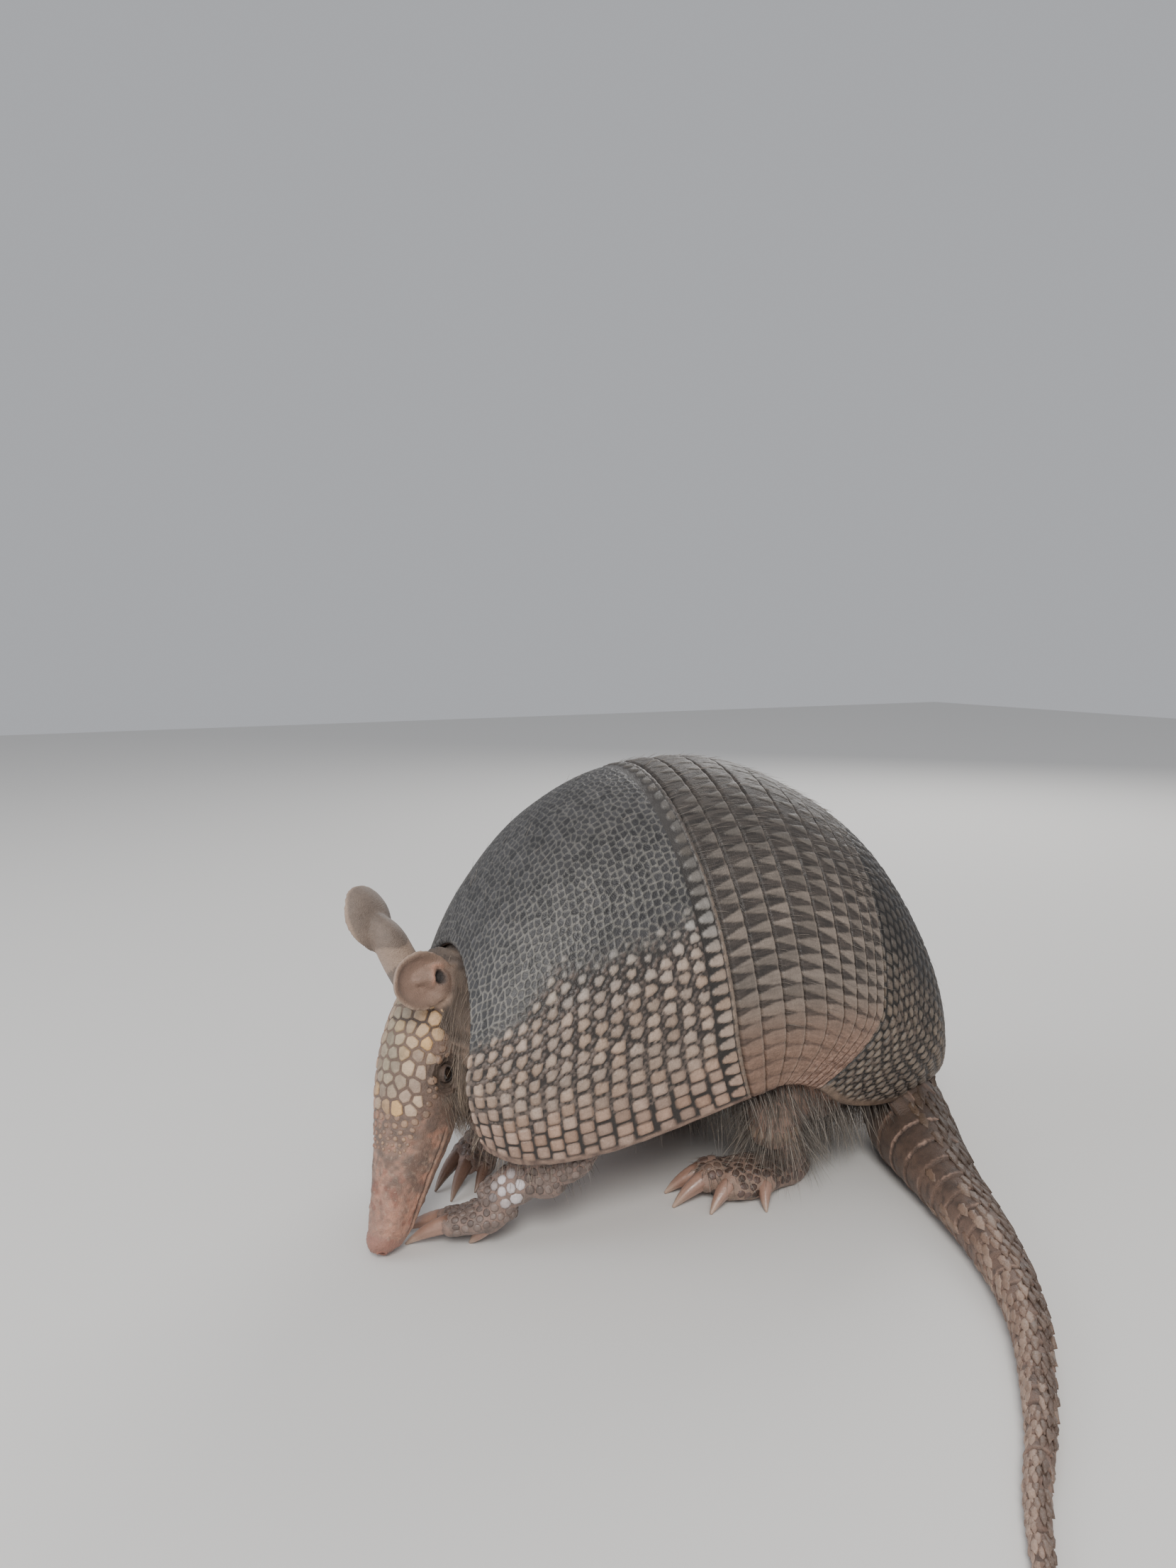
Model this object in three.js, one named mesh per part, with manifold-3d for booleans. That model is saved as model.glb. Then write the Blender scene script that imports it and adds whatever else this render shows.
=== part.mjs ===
// A nine-banded armadillo, crouching with its head down and its tail laid round to its left.
// Millimetres, +Z up. Along the body +X runs to the rump and +Y to the animal's right.
import * as THREE from "three";
import * as BufferGeometryUtils from "three/addons/utils/BufferGeometryUtils.js";
import Module from "manifold-3d";

const wasm = await Module();
wasm.setup();

// ---- driving dimensions ----
const GAP = 0.3; // clearance between neighbouring pieces
const PLATE = 4; // thickness of the shell over the back
const RIM_THINNING = 0.4; // share of it lost toward the lower edges
const PLATE_TO_TRUNK = 1.6; // hollow between the shell and the body in it
const RIM_LIFT = 0.6; // each hoop's rear rim stands this much over the next hoop's front
const AROUND = 18; // facets round the shell from edge to edge
const SMOOTHING = 0.14; // corners lower than this are merged away

// The shell as hoops from the shoulders (at 0) to the rump (at 1). crest is the point over the
// spine, flank the level of greatest width and rim the level of the lower edges, as [x, z].
// half is half the width, sweep the angle from crest to rim, and the spine itself swings
// sideways by shift and turns by turn degrees, so the left flank is the hollow side.
const SHELL = [
  { at: 0, crest: [-142, 127], flank: [-149, 84], rim: [-141, 51], half: 44, sweep: 110, shift: -18, turn: 6 },
  { at: 0.15, crest: [-124, 154], flank: [-130, 84], rim: [-124, 45], half: 62, sweep: 110, shift: -12, turn: 5 },
  { at: 0.3, crest: [-90, 182], flank: [-94, 86], rim: [-87, 45], half: 76, sweep: 108, shift: -3, turn: 4 },
  { at: 0.46, crest: [-41, 199], flank: [-27, 90], rim: [-17, 55], half: 81, sweep: 107, shift: 2, turn: 4 },
  { at: 0.58, crest: [10, 197.5], flank: [20, 90], rim: [6, 58], half: 82, sweep: 108, shift: 1, turn: 7 },
  { at: 0.7, crest: [64, 172], flank: [61, 88], rim: [27, 54], half: 80, sweep: 110, shift: -5, turn: 12 },
  { at: 0.82, crest: [97, 139], flank: [88, 78], rim: [50, 43], half: 75, sweep: 112, shift: -13, turn: 18 },
  { at: 0.92, crest: [115, 103], flank: [108, 64], rim: [80, 37], half: 64, sweep: 115, shift: -21, turn: 22 },
  { at: 1, crest: [127, 66], flank: [119, 46], rim: [104, 33], half: 42, sweep: 118, shift: -28, turn: 26 },
];
const BANDS_FROM = 0.46;
const BANDS_TO = 0.7;
const BAND_WIDTHS = [13, 14.5, 13, 15, 12, 10, 9, 7.5, 7]; // the hindmost slide under each other
const SHOULDER_ROWS = 7;
const PELVIC_ROWS = 6;

// How far the belly hangs below the shell's lower edge, along the same stations.
const BELLY_DEPTH = [7, 10, 13, 20, 24, 25, 19, 12, 4];
const TRUNK_FROM = 0.04;
const TRUNK_TO = 0.97;

// The head, from the tip of the nose to the crown. Each section has its distance from the nose,
// half width, height above the axis and depth below it.
const NOSE = new THREE.Vector3(-180.5, -30, 4.4);
const CROWN = new THREE.Vector3(-139, -1, 100.4);
const HEAD_ROLL = 10; // degrees, the brow turned to the left
const HEAD_FACETS = 16;
const HEAD_SECTIONS = [
  { from: -2.2, half: 2.8, up: 2.6, down: 3 },
  { from: 0, half: 5.4, up: 4.6, down: 6 },
  { from: 4, half: 7.8, up: 4.9, down: 9.6 },
  { from: 10, half: 9.2, up: 5.7, down: 12.4 },
  { from: 18, half: 10, up: 7.6, down: 14.8 },
  { from: 28, half: 11.4, up: 9.8, down: 16.5 },
  { from: 38, half: 13.8, up: 12, down: 18.2 },
  { from: 50, half: 16.6, up: 14.8, down: 19.6 },
  { from: 62, half: 18.8, up: 18, down: 19 },
  { from: 76, half: 20.4, up: 20.3, down: 16.6 },
  { from: 90, half: 20.4, up: 20.4, down: 15 },
  { from: 102, half: 19, up: 18.6, down: 13.5 },
  { from: 112, half: 15.5, up: 14, down: 10.5 },
  { from: 118, half: 9, up: 8, down: 6.5 },
];
const HEAD_SHIELD = { from: 50, to: 110, spread: 72, sunk: 2.2, proud: 0.5, rows: 6, columns: 8 };
const EYE = { from: 74, angle: 86, radius: 3.3, depth: 0.85 };

// Each ear is an oval cup on a short stalk: up is the way it stands, open the way it faces.
const EAR = { length: 33, width: 24, cup: 7, wall: 1.8, stalk: 7, facets: 10 };
const EARS = {
  left: { root: [-139, -13, 98], centre: [-156, -26, 115], up: [-0.93, -0.3, 0.1], open: [-0.2, -0.95, 0.2] },
  right: { root: [-147, 14, 100], centre: [-165, 25, 131], up: [-0.42, 0.1, 0.9], open: [-0.55, 0.8, 0.2] },
};

const NECK = [
  { centre: [-108, 0, 82], half: 46, height: 36 },
  { centre: [-127, -3, 85], half: 34, height: 34 },
  { centre: [-139, -4, 87], half: 23, height: 27 },
  { centre: [-147, -5, 87], half: 15, height: 18 },
];

// Legs as chains of round sections: a point and a radius, or a half width and half height.
const FORELEG = {
  limb: [
    [-106, -46, 66, 19], [-103, -52, 50, 17], [-104, -55, 41, 12.5],
    [-114, -52, 34.5, 10], [-126, -47, 27, 8.5], [-134, -42, 20, 8],
  ],
  palm: [[-128, -45, 18, 7, 6], [-134, -42, 14, 9.5, 6.5], [-140, -38, 12, 10.5, 6], [-146, -35, 10, 8, 5]],
  toes: [
    { knuckle: [-139, -29, 8], nail: [-143, -24, 6], tip: [-151, -16, 0.4], radius: 4 },
    { knuckle: [-145, -33, 10.5], nail: [-151, -27, 8.5], tip: [-164, -13, 0.4], radius: 5 },
    { knuckle: [-145, -39, 11.5], nail: [-152, -35, 9.5], tip: [-167, -25.5, 0.4], radius: 5.2 },
    { knuckle: [-135, -46, 14], nail: [-137, -44, 10], tip: [-142.5, -37, 0.3], radius: 4.8 },
  ],
};
const HINDLEG = {
  limb: [
    [52, -38, 60, 26], [32, -45, 50, 24], [11, -53, 45, 18],
    [2, -59, 36, 12.5], [8, -58, 24, 9.5], [13, -56, 14, 8.5],
  ],
  palm: [
    [24, -51, 6.5, 5, 6], [16, -53, 6.6, 8, 8], [2, -54, 7.8, 10.5, 9],
    [-14, -53, 7.4, 15, 8.4], [-25, -51, 7.6, 13.5, 7],
  ],
  toes: [
    { knuckle: [-16, -39, 7], nail: [-19, -37, 6], tip: [-29, -30, 0.3], radius: 4.6 },
    { knuckle: [-26, -44, 10], nail: [-31, -42.5, 8.5], tip: [-45, -38, 0.3], radius: 5.6 },
    { knuckle: [-28, -51.5, 10.5], nail: [-33, -51.5, 9], tip: [-49, -51.5, 0.3], radius: 6 },
    { knuckle: [-21, -59, 10], nail: [-25, -60.5, 8.5], tip: [-37.5, -65, 0.3], radius: 5.6 },
    { knuckle: [-6, -64, 9], nail: [-8.5, -66.5, 7.5], tip: [-14, -75, 0.3], radius: 4.6 },
  ],
};
const RIGHT_FORELEG = { mirror: -6, step: 28 }; // its plane of symmetry, and how far it stands back
const RIGHT_HINDLEG = { mirror: -5, step: 11 };

// The tail along the floor: a point and a radius each.
const TAIL = [
  [104, -20, 38, 17], [91, -44, 25.5, 19.5], [78, -67, 19.6, 20], [67, -91, 16.4, 16.8],
  [57, -116, 12.7, 13.1], [44, -147, 10.2, 10.6], [29, -176, 8, 8.4], [11, -201, 6.4, 6.8],
  [-9, -222, 5.2, 5.5], [-30, -242, 4.2, 4.5], [-51, -259, 3.4, 3.7], [-72, -280, 2.5, 2.8],
  [-94, -308, 1.4, 1.7],
];
const TAIL_LENGTHS = {
  tail_base: { from: 0, to: 0.36, steps: 8, sides: 12 },
  tail_middle: { from: 0.36, to: 0.68, steps: 7, sides: 10 },
  tail_tip: { from: 0.68, to: 1, steps: 7, sides: 8 },
};

// ---- materials ----
function finish(colour, roughness) {
  return new THREE.MeshStandardMaterial({ color: colour, roughness, metalness: 0 });
}
const shellDark = finish(0x5f554b, 0.62);
const shellPale = finish(0x8f7f70, 0.6);
const bandHorn = finish(0x7b6d61, 0.6);
const crownHorn = finish(0xb08f6a, 0.55);
const skinGrey = finish(0x7a675c, 0.75);
const faceSkin = finish(0x95705f, 0.7);
const earSkin = finish(0x7d6a5d, 0.7);
const footSkin = finish(0x6b574c, 0.72);
const tailHorn = finish(0x8a6a56, 0.68);
const clawHorn = finish(0xb79482, 0.45);
const eyeBlack = finish(0x14100e, 0.15);

// ---- geometry helpers ----
const point = ([x, y, z]) => new THREE.Vector3(x, y, z);
const radians = THREE.MathUtils.degToRad;

function geometryOf(vertices, triangles) {
  const geometry = new THREE.BufferGeometry();
  const numbers = vertices.flatMap((vertex) => vertex.toArray());
  geometry.setAttribute("position", new THREE.Float32BufferAttribute(numbers, 3));
  geometry.setIndex(triangles.flat());
  return geometry;
}

// A closed body through rings of equal count, with a fan over each end.
function loft(rings) {
  const count = rings[0].length;
  const vertices = rings.flat();
  const triangles = [];
  for (let r = 0; r + 1 < rings.length; r++) {
    for (let i = 0; i < count; i++) {
      const j = (i + 1) % count;
      const [a, b, c, d] = [r * count + i, r * count + j, (r + 1) * count + j, (r + 1) * count + i];
      triangles.push([a, b, c], [a, c, d]);
    }
  }
  for (const flip of [true, false]) {
    const ring = rings.at(flip ? 0 : -1);
    const start = flip ? 0 : (rings.length - 1) * count;
    const hub = vertices.length;
    vertices.push(ring.reduce((sum, v) => sum.add(v), new THREE.Vector3()).divideScalar(count));
    for (let i = 0; i < count; i++) {
      const j = (i + 1) % count;
      triangles.push(flip ? [hub, start + j, start + i] : [hub, start + i, start + j]);
    }
  }
  return solidOf(geometryOf(vertices, triangles));
}

// A plate between two surfaces of the same two parameters, each from 0 to 1.
function plate(outer, inner, rows, columns) {
  const vertices = [];
  for (const surface of [outer, inner]) {
    for (let r = 0; r <= rows; r++) {
      for (let c = 0; c <= columns; c++) vertices.push(surface(r / rows, c / columns));
    }
  }
  const under = (rows + 1) * (columns + 1);
  const at = (r, c) => r * (columns + 1) + c;
  const triangles = [];
  for (let r = 0; r < rows; r++) {
    for (let c = 0; c < columns; c++) {
      const [p, q, s, t] = [at(r, c), at(r + 1, c), at(r + 1, c + 1), at(r, c + 1)];
      triangles.push([p, q, s], [p, s, t]);
      triangles.push([under + p, under + s, under + q], [under + p, under + t, under + s]);
    }
  }
  const wall = (p, q) => triangles.push([p, under + p, under + q], [p, under + q, q]);
  for (let r = 0; r < rows; r++) {
    wall(at(r, 0), at(r + 1, 0));
    wall(at(r + 1, columns), at(r, columns));
  }
  for (let c = 0; c < columns; c++) {
    wall(at(0, c + 1), at(0, c));
    wall(at(rows, c), at(rows, c + 1));
  }
  return solidOf(geometryOf(vertices, triangles));
}

function signedVolume(geometry) {
  const position = geometry.getAttribute("position");
  const [a, b, c] = [new THREE.Vector3(), new THREE.Vector3(), new THREE.Vector3()];
  let sum = 0;
  for (let i = 0; i < geometry.index.count; i += 3) {
    a.fromBufferAttribute(position, geometry.index.getX(i));
    b.fromBufferAttribute(position, geometry.index.getX(i + 1));
    c.fromBufferAttribute(position, geometry.index.getX(i + 2));
    sum += a.dot(b.cross(c)) / 6;
  }
  return sum;
}

function solidOf(source) {
  const geometry = source.clone();
  geometry.deleteAttribute("normal");
  geometry.deleteAttribute("uv");
  const merged = BufferGeometryUtils.mergeVertices(geometry, 1e-4);
  const triVerts = new Uint32Array(merged.index.array);
  if (signedVolume(merged) < 0) {
    for (let i = 0; i < triVerts.length; i += 3) {
      [triVerts[i], triVerts[i + 1]] = [triVerts[i + 1], triVerts[i]];
    }
  }
  const vertProperties = new Float32Array(merged.getAttribute("position").array);
  return new wasm.Manifold(new wasm.Mesh({ numProp: 3, vertProperties, triVerts }));
}

const animal = new THREE.Group();
function add(name, solid, material) {
  const { vertProperties, triVerts } = solid.simplify(SMOOTHING).getMesh();
  const geometry = new THREE.BufferGeometry();
  geometry.setAttribute("position", new THREE.Float32BufferAttribute(vertProperties, 3));
  geometry.setIndex(new THREE.Uint32BufferAttribute(triVerts, 1));
  geometry.computeVertexNormals();
  const mesh = new THREE.Mesh(geometry, material);
  mesh.name = name;
  animal.add(mesh);
}

const below = solidOf(new THREE.BoxGeometry(900, 900, 100).translate(0, 0, -50));
const standing = (solid) => solid.subtract(below); // the floor cuts a small flat where a piece rests

// Smooth interpolation of uneven stations, by cubic pieces with matched slopes.
function smooth(places, values, at) {
  const last = places.length - 1;
  const slope = (i) => (values[i + 1] - values[i]) / (places[i + 1] - places[i]);
  const inner = (i) => (slope(i) * (places[i] - places[i - 1]) + slope(i - 1) * (places[i + 1] - places[i]))
    / (places[i + 1] - places[i - 1]);
  const tangent = (i) => {
    if (i === 0) return 1.5 * slope(0) - 0.5 * inner(1);
    if (i === last) return 1.5 * slope(last - 1) - 0.5 * inner(last - 1);
    return inner(i);
  };
  let i = 0;
  while (i < last - 1 && at >= places[i + 1]) i++;
  const step = places[i + 1] - places[i];
  const t = (at - places[i]) / step;
  return (2 * t ** 3 - 3 * t ** 2 + 1) * values[i] + (t ** 3 - 2 * t ** 2 + t) * step * tangent(i)
    + (3 * t ** 2 - 2 * t ** 3) * values[i + 1] + (t ** 3 - t ** 2) * step * tangent(i + 1);
}

// ---- shell ----
const shellPlaces = SHELL.map((station) => station.at);
const shellValue = (read, at) => smooth(shellPlaces, SHELL.map(read), at);

// A point of the shell's outer surface: along from 0 to 1, around from -1 (left rim) to 1.
function shellPoint(along, around) {
  const crest = [0, 1].map((k) => shellValue((s) => s.crest[k], along));
  const flank = [0, 1].map((k) => shellValue((s) => s.flank[k], along));
  const rim = [0, 1].map((k) => shellValue((s) => s.rim[k], along));
  const sweep = radians(shellValue((s) => s.sweep, along));
  const turn = radians(shellValue((s) => s.turn, along));
  const angle = Math.abs(around) * sweep;
  const tuck = Math.max(0, (angle - Math.PI / 2) / (sweep - Math.PI / 2)) ** 2;
  const [x, z] = [0, 1].map((k) => {
    const rise = crest[k] - flank[k];
    return flank[k] + rise * Math.cos(angle) + (rim[k] - flank[k] - rise * Math.cos(sweep)) * tuck;
  });
  const out = Math.sign(around) * Math.sin(angle) * shellValue((s) => s.half, along);
  const y = shellValue((s) => s.shift, along) + out * Math.cos(turn);
  return new THREE.Vector3(x + out * Math.sin(turn), y, z);
}

function shellSlopes(along, around) {
  const step = 1e-3;
  const lengthwise = shellPoint(along + step, around).sub(shellPoint(along - step, around));
  lengthwise.divideScalar(2 * step);
  const across = shellPoint(along, around + step).sub(shellPoint(along, around - step));
  return { lengthwise, outward: lengthwise.clone().cross(across).normalize() };
}

function shellAt(along, around, lift) {
  return shellPoint(along, around).addScaledVector(shellSlopes(along, around).outward, lift);
}

const thickness = (around) => PLATE * (1 - RIM_THINNING * around ** 6);

// A hoop of shell between two stations, each edge drawn in by half the gap.
function hoop(from, to, rows, { frontLift = 0, rearLift = 0 } = {}) {
  const surface = (lift) => (u, v) => {
    const around = 2 * v - 1;
    const edge = (at, side) => at + (side * GAP) / 2 / shellSlopes(at, around).lengthwise.length();
    const along = THREE.MathUtils.lerp(edge(from, 1), edge(to, -1), u);
    return shellAt(along, around, lift(u, around));
  };
  const top = surface((u) => THREE.MathUtils.lerp(frontLift, rearLift, u));
  return plate(top, surface((_, around) => -thickness(around)), rows, AROUND);
}

function addShell() {
  add("scapular_shield", hoop(0, BANDS_FROM, SHOULDER_ROWS, { rearLift: RIM_LIFT }), shellPale);
  const total = BAND_WIDTHS.reduce((sum, width) => sum + width, 0);
  let from = BANDS_FROM;
  BAND_WIDTHS.forEach((width, i) => {
    const to = from + ((BANDS_TO - BANDS_FROM) * width) / total;
    add(`band_${i + 1}`, hoop(from, to, 1, { rearLift: RIM_LIFT }), bandHorn);
    from = to;
  });
  add("pelvic_shield", hoop(BANDS_TO, 1, PELVIC_ROWS), shellDark);
}

// What the shell takes up, with clearance, to cut from the flesh that passes under its edges.
function shellRoom() {
  const surface = (lift) => (u, v) => shellAt(u * 1.01 - 0.005, (2 * v - 1) * 1.012, lift);
  return plate(surface(14), surface(-PLATE - GAP), 12, 12);
}

// ---- trunk ----
function trunkRing(along) {
  const lift = -PLATE - PLATE_TO_TRUNK;
  const ring = [];
  const backFacets = 12;
  const bellyFacets = 6;
  for (let i = 0; i <= backFacets; i++) ring.push(shellAt(along, (2 * i) / backFacets - 1, lift));
  const [left, right] = [ring[0], ring.at(-1)];
  const depth = smooth(shellPlaces, BELLY_DEPTH, along);
  for (let i = 1; i < bellyFacets; i++) {
    const angle = (Math.PI * i) / bellyFacets;
    const spot = right.clone().lerp(left, (1 - Math.cos(angle)) / 2);
    spot.z -= depth * Math.sin(angle) ** 2;
    ring.push(spot);
  }
  return ring;
}

function trunkBody() {
  const rows = 10;
  const rings = [];
  for (let r = 0; r <= rows; r++) rings.push(trunkRing(THREE.MathUtils.lerp(TRUNK_FROM, TRUNK_TO, r / rows)));
  return loft(rings);
}

// ---- head, neck, eyes and ears ----
const headAxis = CROWN.clone().sub(NOSE).normalize();
const levelSide = new THREE.Vector3(0, 1, 0).addScaledVector(headAxis, -headAxis.y).normalize();
const headSide = levelSide.applyAxisAngle(headAxis, radians(HEAD_ROLL));
const headUp = headAxis.clone().cross(headSide);

// A point of the head: distance from the nose, angle from the mid-line toward the right side.
function headPoint(from, angle, lift) {
  const places = HEAD_SECTIONS.map((s) => s.from);
  const read = (key) => smooth(places, HEAD_SECTIONS.map((s) => s[key]), from);
  const high = (Math.cos(angle) > 0 ? read("up") : read("down")) + lift;
  return NOSE.clone()
    .addScaledVector(headAxis, from)
    .addScaledVector(headSide, (read("half") + lift) * Math.sin(angle))
    .addScaledVector(headUp, high * Math.cos(angle));
}

function headBody(lift) {
  const turn = (2 * Math.PI) / HEAD_FACETS;
  return loft(HEAD_SECTIONS.map(({ from }) => {
    return Array.from({ length: HEAD_FACETS }, (_, i) => headPoint(from, i * turn, lift));
  }));
}

function headShield(sunk, proud, margin) {
  const { from, to, spread, rows, columns } = HEAD_SHIELD;
  const surface = (lift) => (u, v) => {
    const near = THREE.MathUtils.lerp(from - margin, to + margin, u);
    const taper = 1 - 0.14 * (1 - u) - 0.3 * u ** 8; // narrower on the snout and at the crown
    return headPoint(near, radians((2 * v - 1) * (spread * taper + margin * 3)), lift);
  };
  return plate(surface(proud), surface(-sunk), rows, columns);
}

function eyeBall(side, swell) {
  const { from, angle, radius, depth } = EYE;
  const axis = headPoint(from, Math.PI, 0).lerp(headPoint(from, 0, 0), 0.5);
  const centre = headPoint(from, side * radians(angle), 0).sub(axis).multiplyScalar(depth).add(axis);
  return solidOf(new THREE.SphereGeometry(radius + swell, 8, 6).translate(...centre));
}

function neckBody(swell) {
  const facets = 16;
  return loft(NECK.map(({ centre, half, height }) => {
    return Array.from({ length: facets }, (_, i) => {
      const angle = (2 * Math.PI * i) / facets;
      const [y, z] = [(half + swell) * Math.cos(angle), (height + swell) * Math.sin(angle)];
      return point(centre).add(new THREE.Vector3(0, y, z));
    });
  }));
}

// A cup on a stalk: u runs over the cup from its back (0) to its rim (1).
function earBody({ root, centre, up, open }) {
  const stand = point(up).normalize();
  const face = point(open).addScaledVector(stand, -point(open).dot(stand)).normalize();
  const side = stand.clone().cross(face);
  const ring = (u, inset, out) => Array.from({ length: EAR.facets }, (_, i) => {
    const angle = (2 * Math.PI * i) / EAR.facets;
    const spread = Math.sin((u * Math.PI) / 2);
    return point(centre)
      .addScaledVector(stand, (EAR.length / 2 - inset) * spread * Math.cos(angle))
      .addScaledVector(side, (EAR.width / 2 - inset) * spread * Math.sin(angle))
      .addScaledVector(face, out - (EAR.cup - inset) * Math.cos((u * Math.PI) / 2));
  });
  const cup = loft([0.3, 0.65, 1].map((u) => ring(u, 0, 0)));
  const inner = [0.35, 0.7, 1].map((u) => ring(u, EAR.wall, 0));
  const hollow = loft([...inner, ring(1, EAR.wall * 0.8, EAR.cup)]);
  const heel = point(centre).addScaledVector(stand, -0.22 * EAR.length);
  heel.addScaledVector(face, -0.62 * EAR.cup);
  const stalk = chain([0, 0.5, 1].map((t) => {
    return [...point(root).lerp(heel, t), EAR.stalk * (1.1 - 0.2 * t), EAR.stalk * (1 - 0.2 * t)];
  }), 7, 0);
  return cup.add(stalk).subtract(hollow);
}

// ---- legs ----
// A chain of sections [x, y, z, half width, half height], square to the way the chain runs.
function chain(sections, sides, swell) {
  const centres = sections.map(([x, y, z]) => new THREE.Vector3(x, y, z));
  const rings = sections.map(([, , , half, height = half], i) => {
    const [before, after] = [Math.max(i - 1, 0), Math.min(i + 1, centres.length - 1)];
    const way = centres[after].clone().sub(centres[before]).normalize();
    const across = new THREE.Vector3(0, 0, 1).cross(way);
    if (across.length() < 0.2) across.set(0, 1, 0);
    across.addScaledVector(way, -across.dot(way)).normalize();
    const rise = way.clone().cross(across);
    return Array.from({ length: sides }, (_, k) => {
      const angle = (2 * Math.PI * (k + 0.5)) / sides;
      return centres[i].clone()
        .addScaledVector(across, (half + swell) * Math.cos(angle))
        .addScaledVector(rise, (height + swell) * Math.sin(angle));
    });
  });
  return loft(rings);
}

function limbBody({ limb, palm, toes }, swell) {
  let body = chain(limb, 8, swell).add(chain(palm, 8, swell));
  for (const { knuckle, nail, radius } of toes) {
    const root = point(knuckle).lerp(point(nail), -0.9).toArray();
    const sections = [[...root, radius * 0.9], [...knuckle, radius * 1.06], [...nail, radius * 0.8]];
    body = body.add(chain(sections, 6, swell));
  }
  return body;
}

// A claw starts square on its toe's end and curves down to the tip.
function claw({ nail, knuckle, tip, radius }, swell = 0) {
  const end = point(nail);
  const way = end.clone().sub(point(knuckle)).normalize();
  const root = end.clone().addScaledVector(way, GAP - 0.5 * swell);
  const bend = end.clone().addScaledVector(way, 0.45 * point(tip).distanceTo(end));
  const course = new THREE.QuadraticBezierCurve3(root, bend, point(tip));
  const sections = [0, 0.12, 0.45, 0.75, 1].map((t) => {
    const size = radius * (0.76 - 0.6 * t ** 1.4);
    return [...course.getPoint(t), size * 0.9, size];
  });
  return chain(sections, 5, swell);
}

function mirrored({ limb, palm, toes }, { mirror, step }) {
  const flip = ([x, y, ...rest]) => [x + step, 2 * mirror - y, ...rest];
  return {
    limb: limb.map(flip),
    palm: palm.map(flip),
    toes: toes.map(({ knuckle, nail, tip, radius }) => ({
      knuckle: flip(knuckle), nail: flip(nail), tip: flip(tip), radius,
    })),
  };
}

function addLeg(name, leg, claws, room) {
  let body = standing(limbBody(leg, 0)).subtract(room);
  for (const toe of leg.toes) body = body.subtract(claw(toe, GAP));
  add(name, body, footSkin);
  leg.toes.forEach((toe, i) => add(`${claws}_${i + 1}`, standing(claw(toe)), clawHorn));
}

// ---- tail ----
const tailCurve = new THREE.CatmullRomCurve3(TAIL.map(point), false, "centripetal");
function tailSection(t) {
  const spots = TAIL.map((_, i) => i / (TAIL.length - 1));
  const centre = tailCurve.getPoint(t);
  return [...centre, smooth(spots, TAIL.map((s) => s[3]), t)];
}

function tailLength({ from, to, steps, sides }, swell = 0) {
  const sections = [];
  for (let i = 0; i <= steps; i++) sections.push(tailSection(THREE.MathUtils.lerp(from, to, i / steps)));
  return chain(sections, sides, swell);
}

// ---- the animal, put together ----
const room = shellRoom();
const headFlesh = headBody(0);
const headRoom = headBody(GAP);
const shieldRoom = headShield(HEAD_SHIELD.sunk + GAP, 8, 0.4);
const legs = {
  foreleg_left: { leg: FORELEG, claws: "foreclaw_left" },
  foreleg_right: { leg: mirrored(FORELEG, RIGHT_FORELEG), claws: "foreclaw_right" },
  hindleg_left: { leg: HINDLEG, claws: "hindclaw_left" },
  hindleg_right: { leg: mirrored(HINDLEG, RIGHT_HINDLEG), claws: "hindclaw_right" },
};

addShell();
add("head", headFlesh.subtract(shieldRoom).subtract(eyeBall(-1, GAP)).subtract(eyeBall(1, GAP)), faceSkin);
add("head_shield", headShield(HEAD_SHIELD.sunk, HEAD_SHIELD.proud, 0), crownHorn);
add("eye_left", eyeBall(-1, 0), eyeBlack);
add("eye_right", eyeBall(1, 0), eyeBlack);
for (const [side, ear] of Object.entries(EARS)) {
  const ears = earBody(ear).subtract(headRoom).subtract(shieldRoom);
  add(`ear_${side}`, ears.subtract(neckBody(GAP)).subtract(room), earSkin);
}

let neck = neckBody(0).subtract(headRoom).subtract(shieldRoom).subtract(room);
let trunk = trunkBody().subtract(neckBody(GAP));
for (const { leg } of Object.values(legs)) {
  const limbRoom = limbBody(leg, GAP);
  neck = neck.subtract(limbRoom);
  trunk = trunk.subtract(limbRoom);
}
add("neck", neck, skinGrey);
trunk = trunk.subtract(tailLength(TAIL_LENGTHS.tail_base, GAP));
add("trunk", trunk, skinGrey);
for (const [name, { leg, claws }] of Object.entries(legs)) addLeg(name, leg, claws, room);

for (const [name, length] of Object.entries(TAIL_LENGTHS)) {
  const cut = GAP / 300; // of the whole tail's course, between one length and the next
  const body = tailLength({ ...length, from: length.from + cut, to: length.to - cut });
  add(name, standing(body).subtract(room), tailHorn);
}

// The origin is on the floor, under the middle of the whole.
const box = new THREE.Box3().setFromObject(animal);
const middle = box.getCenter(new THREE.Vector3());
animal.position.set(-middle.x, -middle.y, -box.min.z);
const group = new THREE.Group();
group.add(animal);

export default group;
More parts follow.
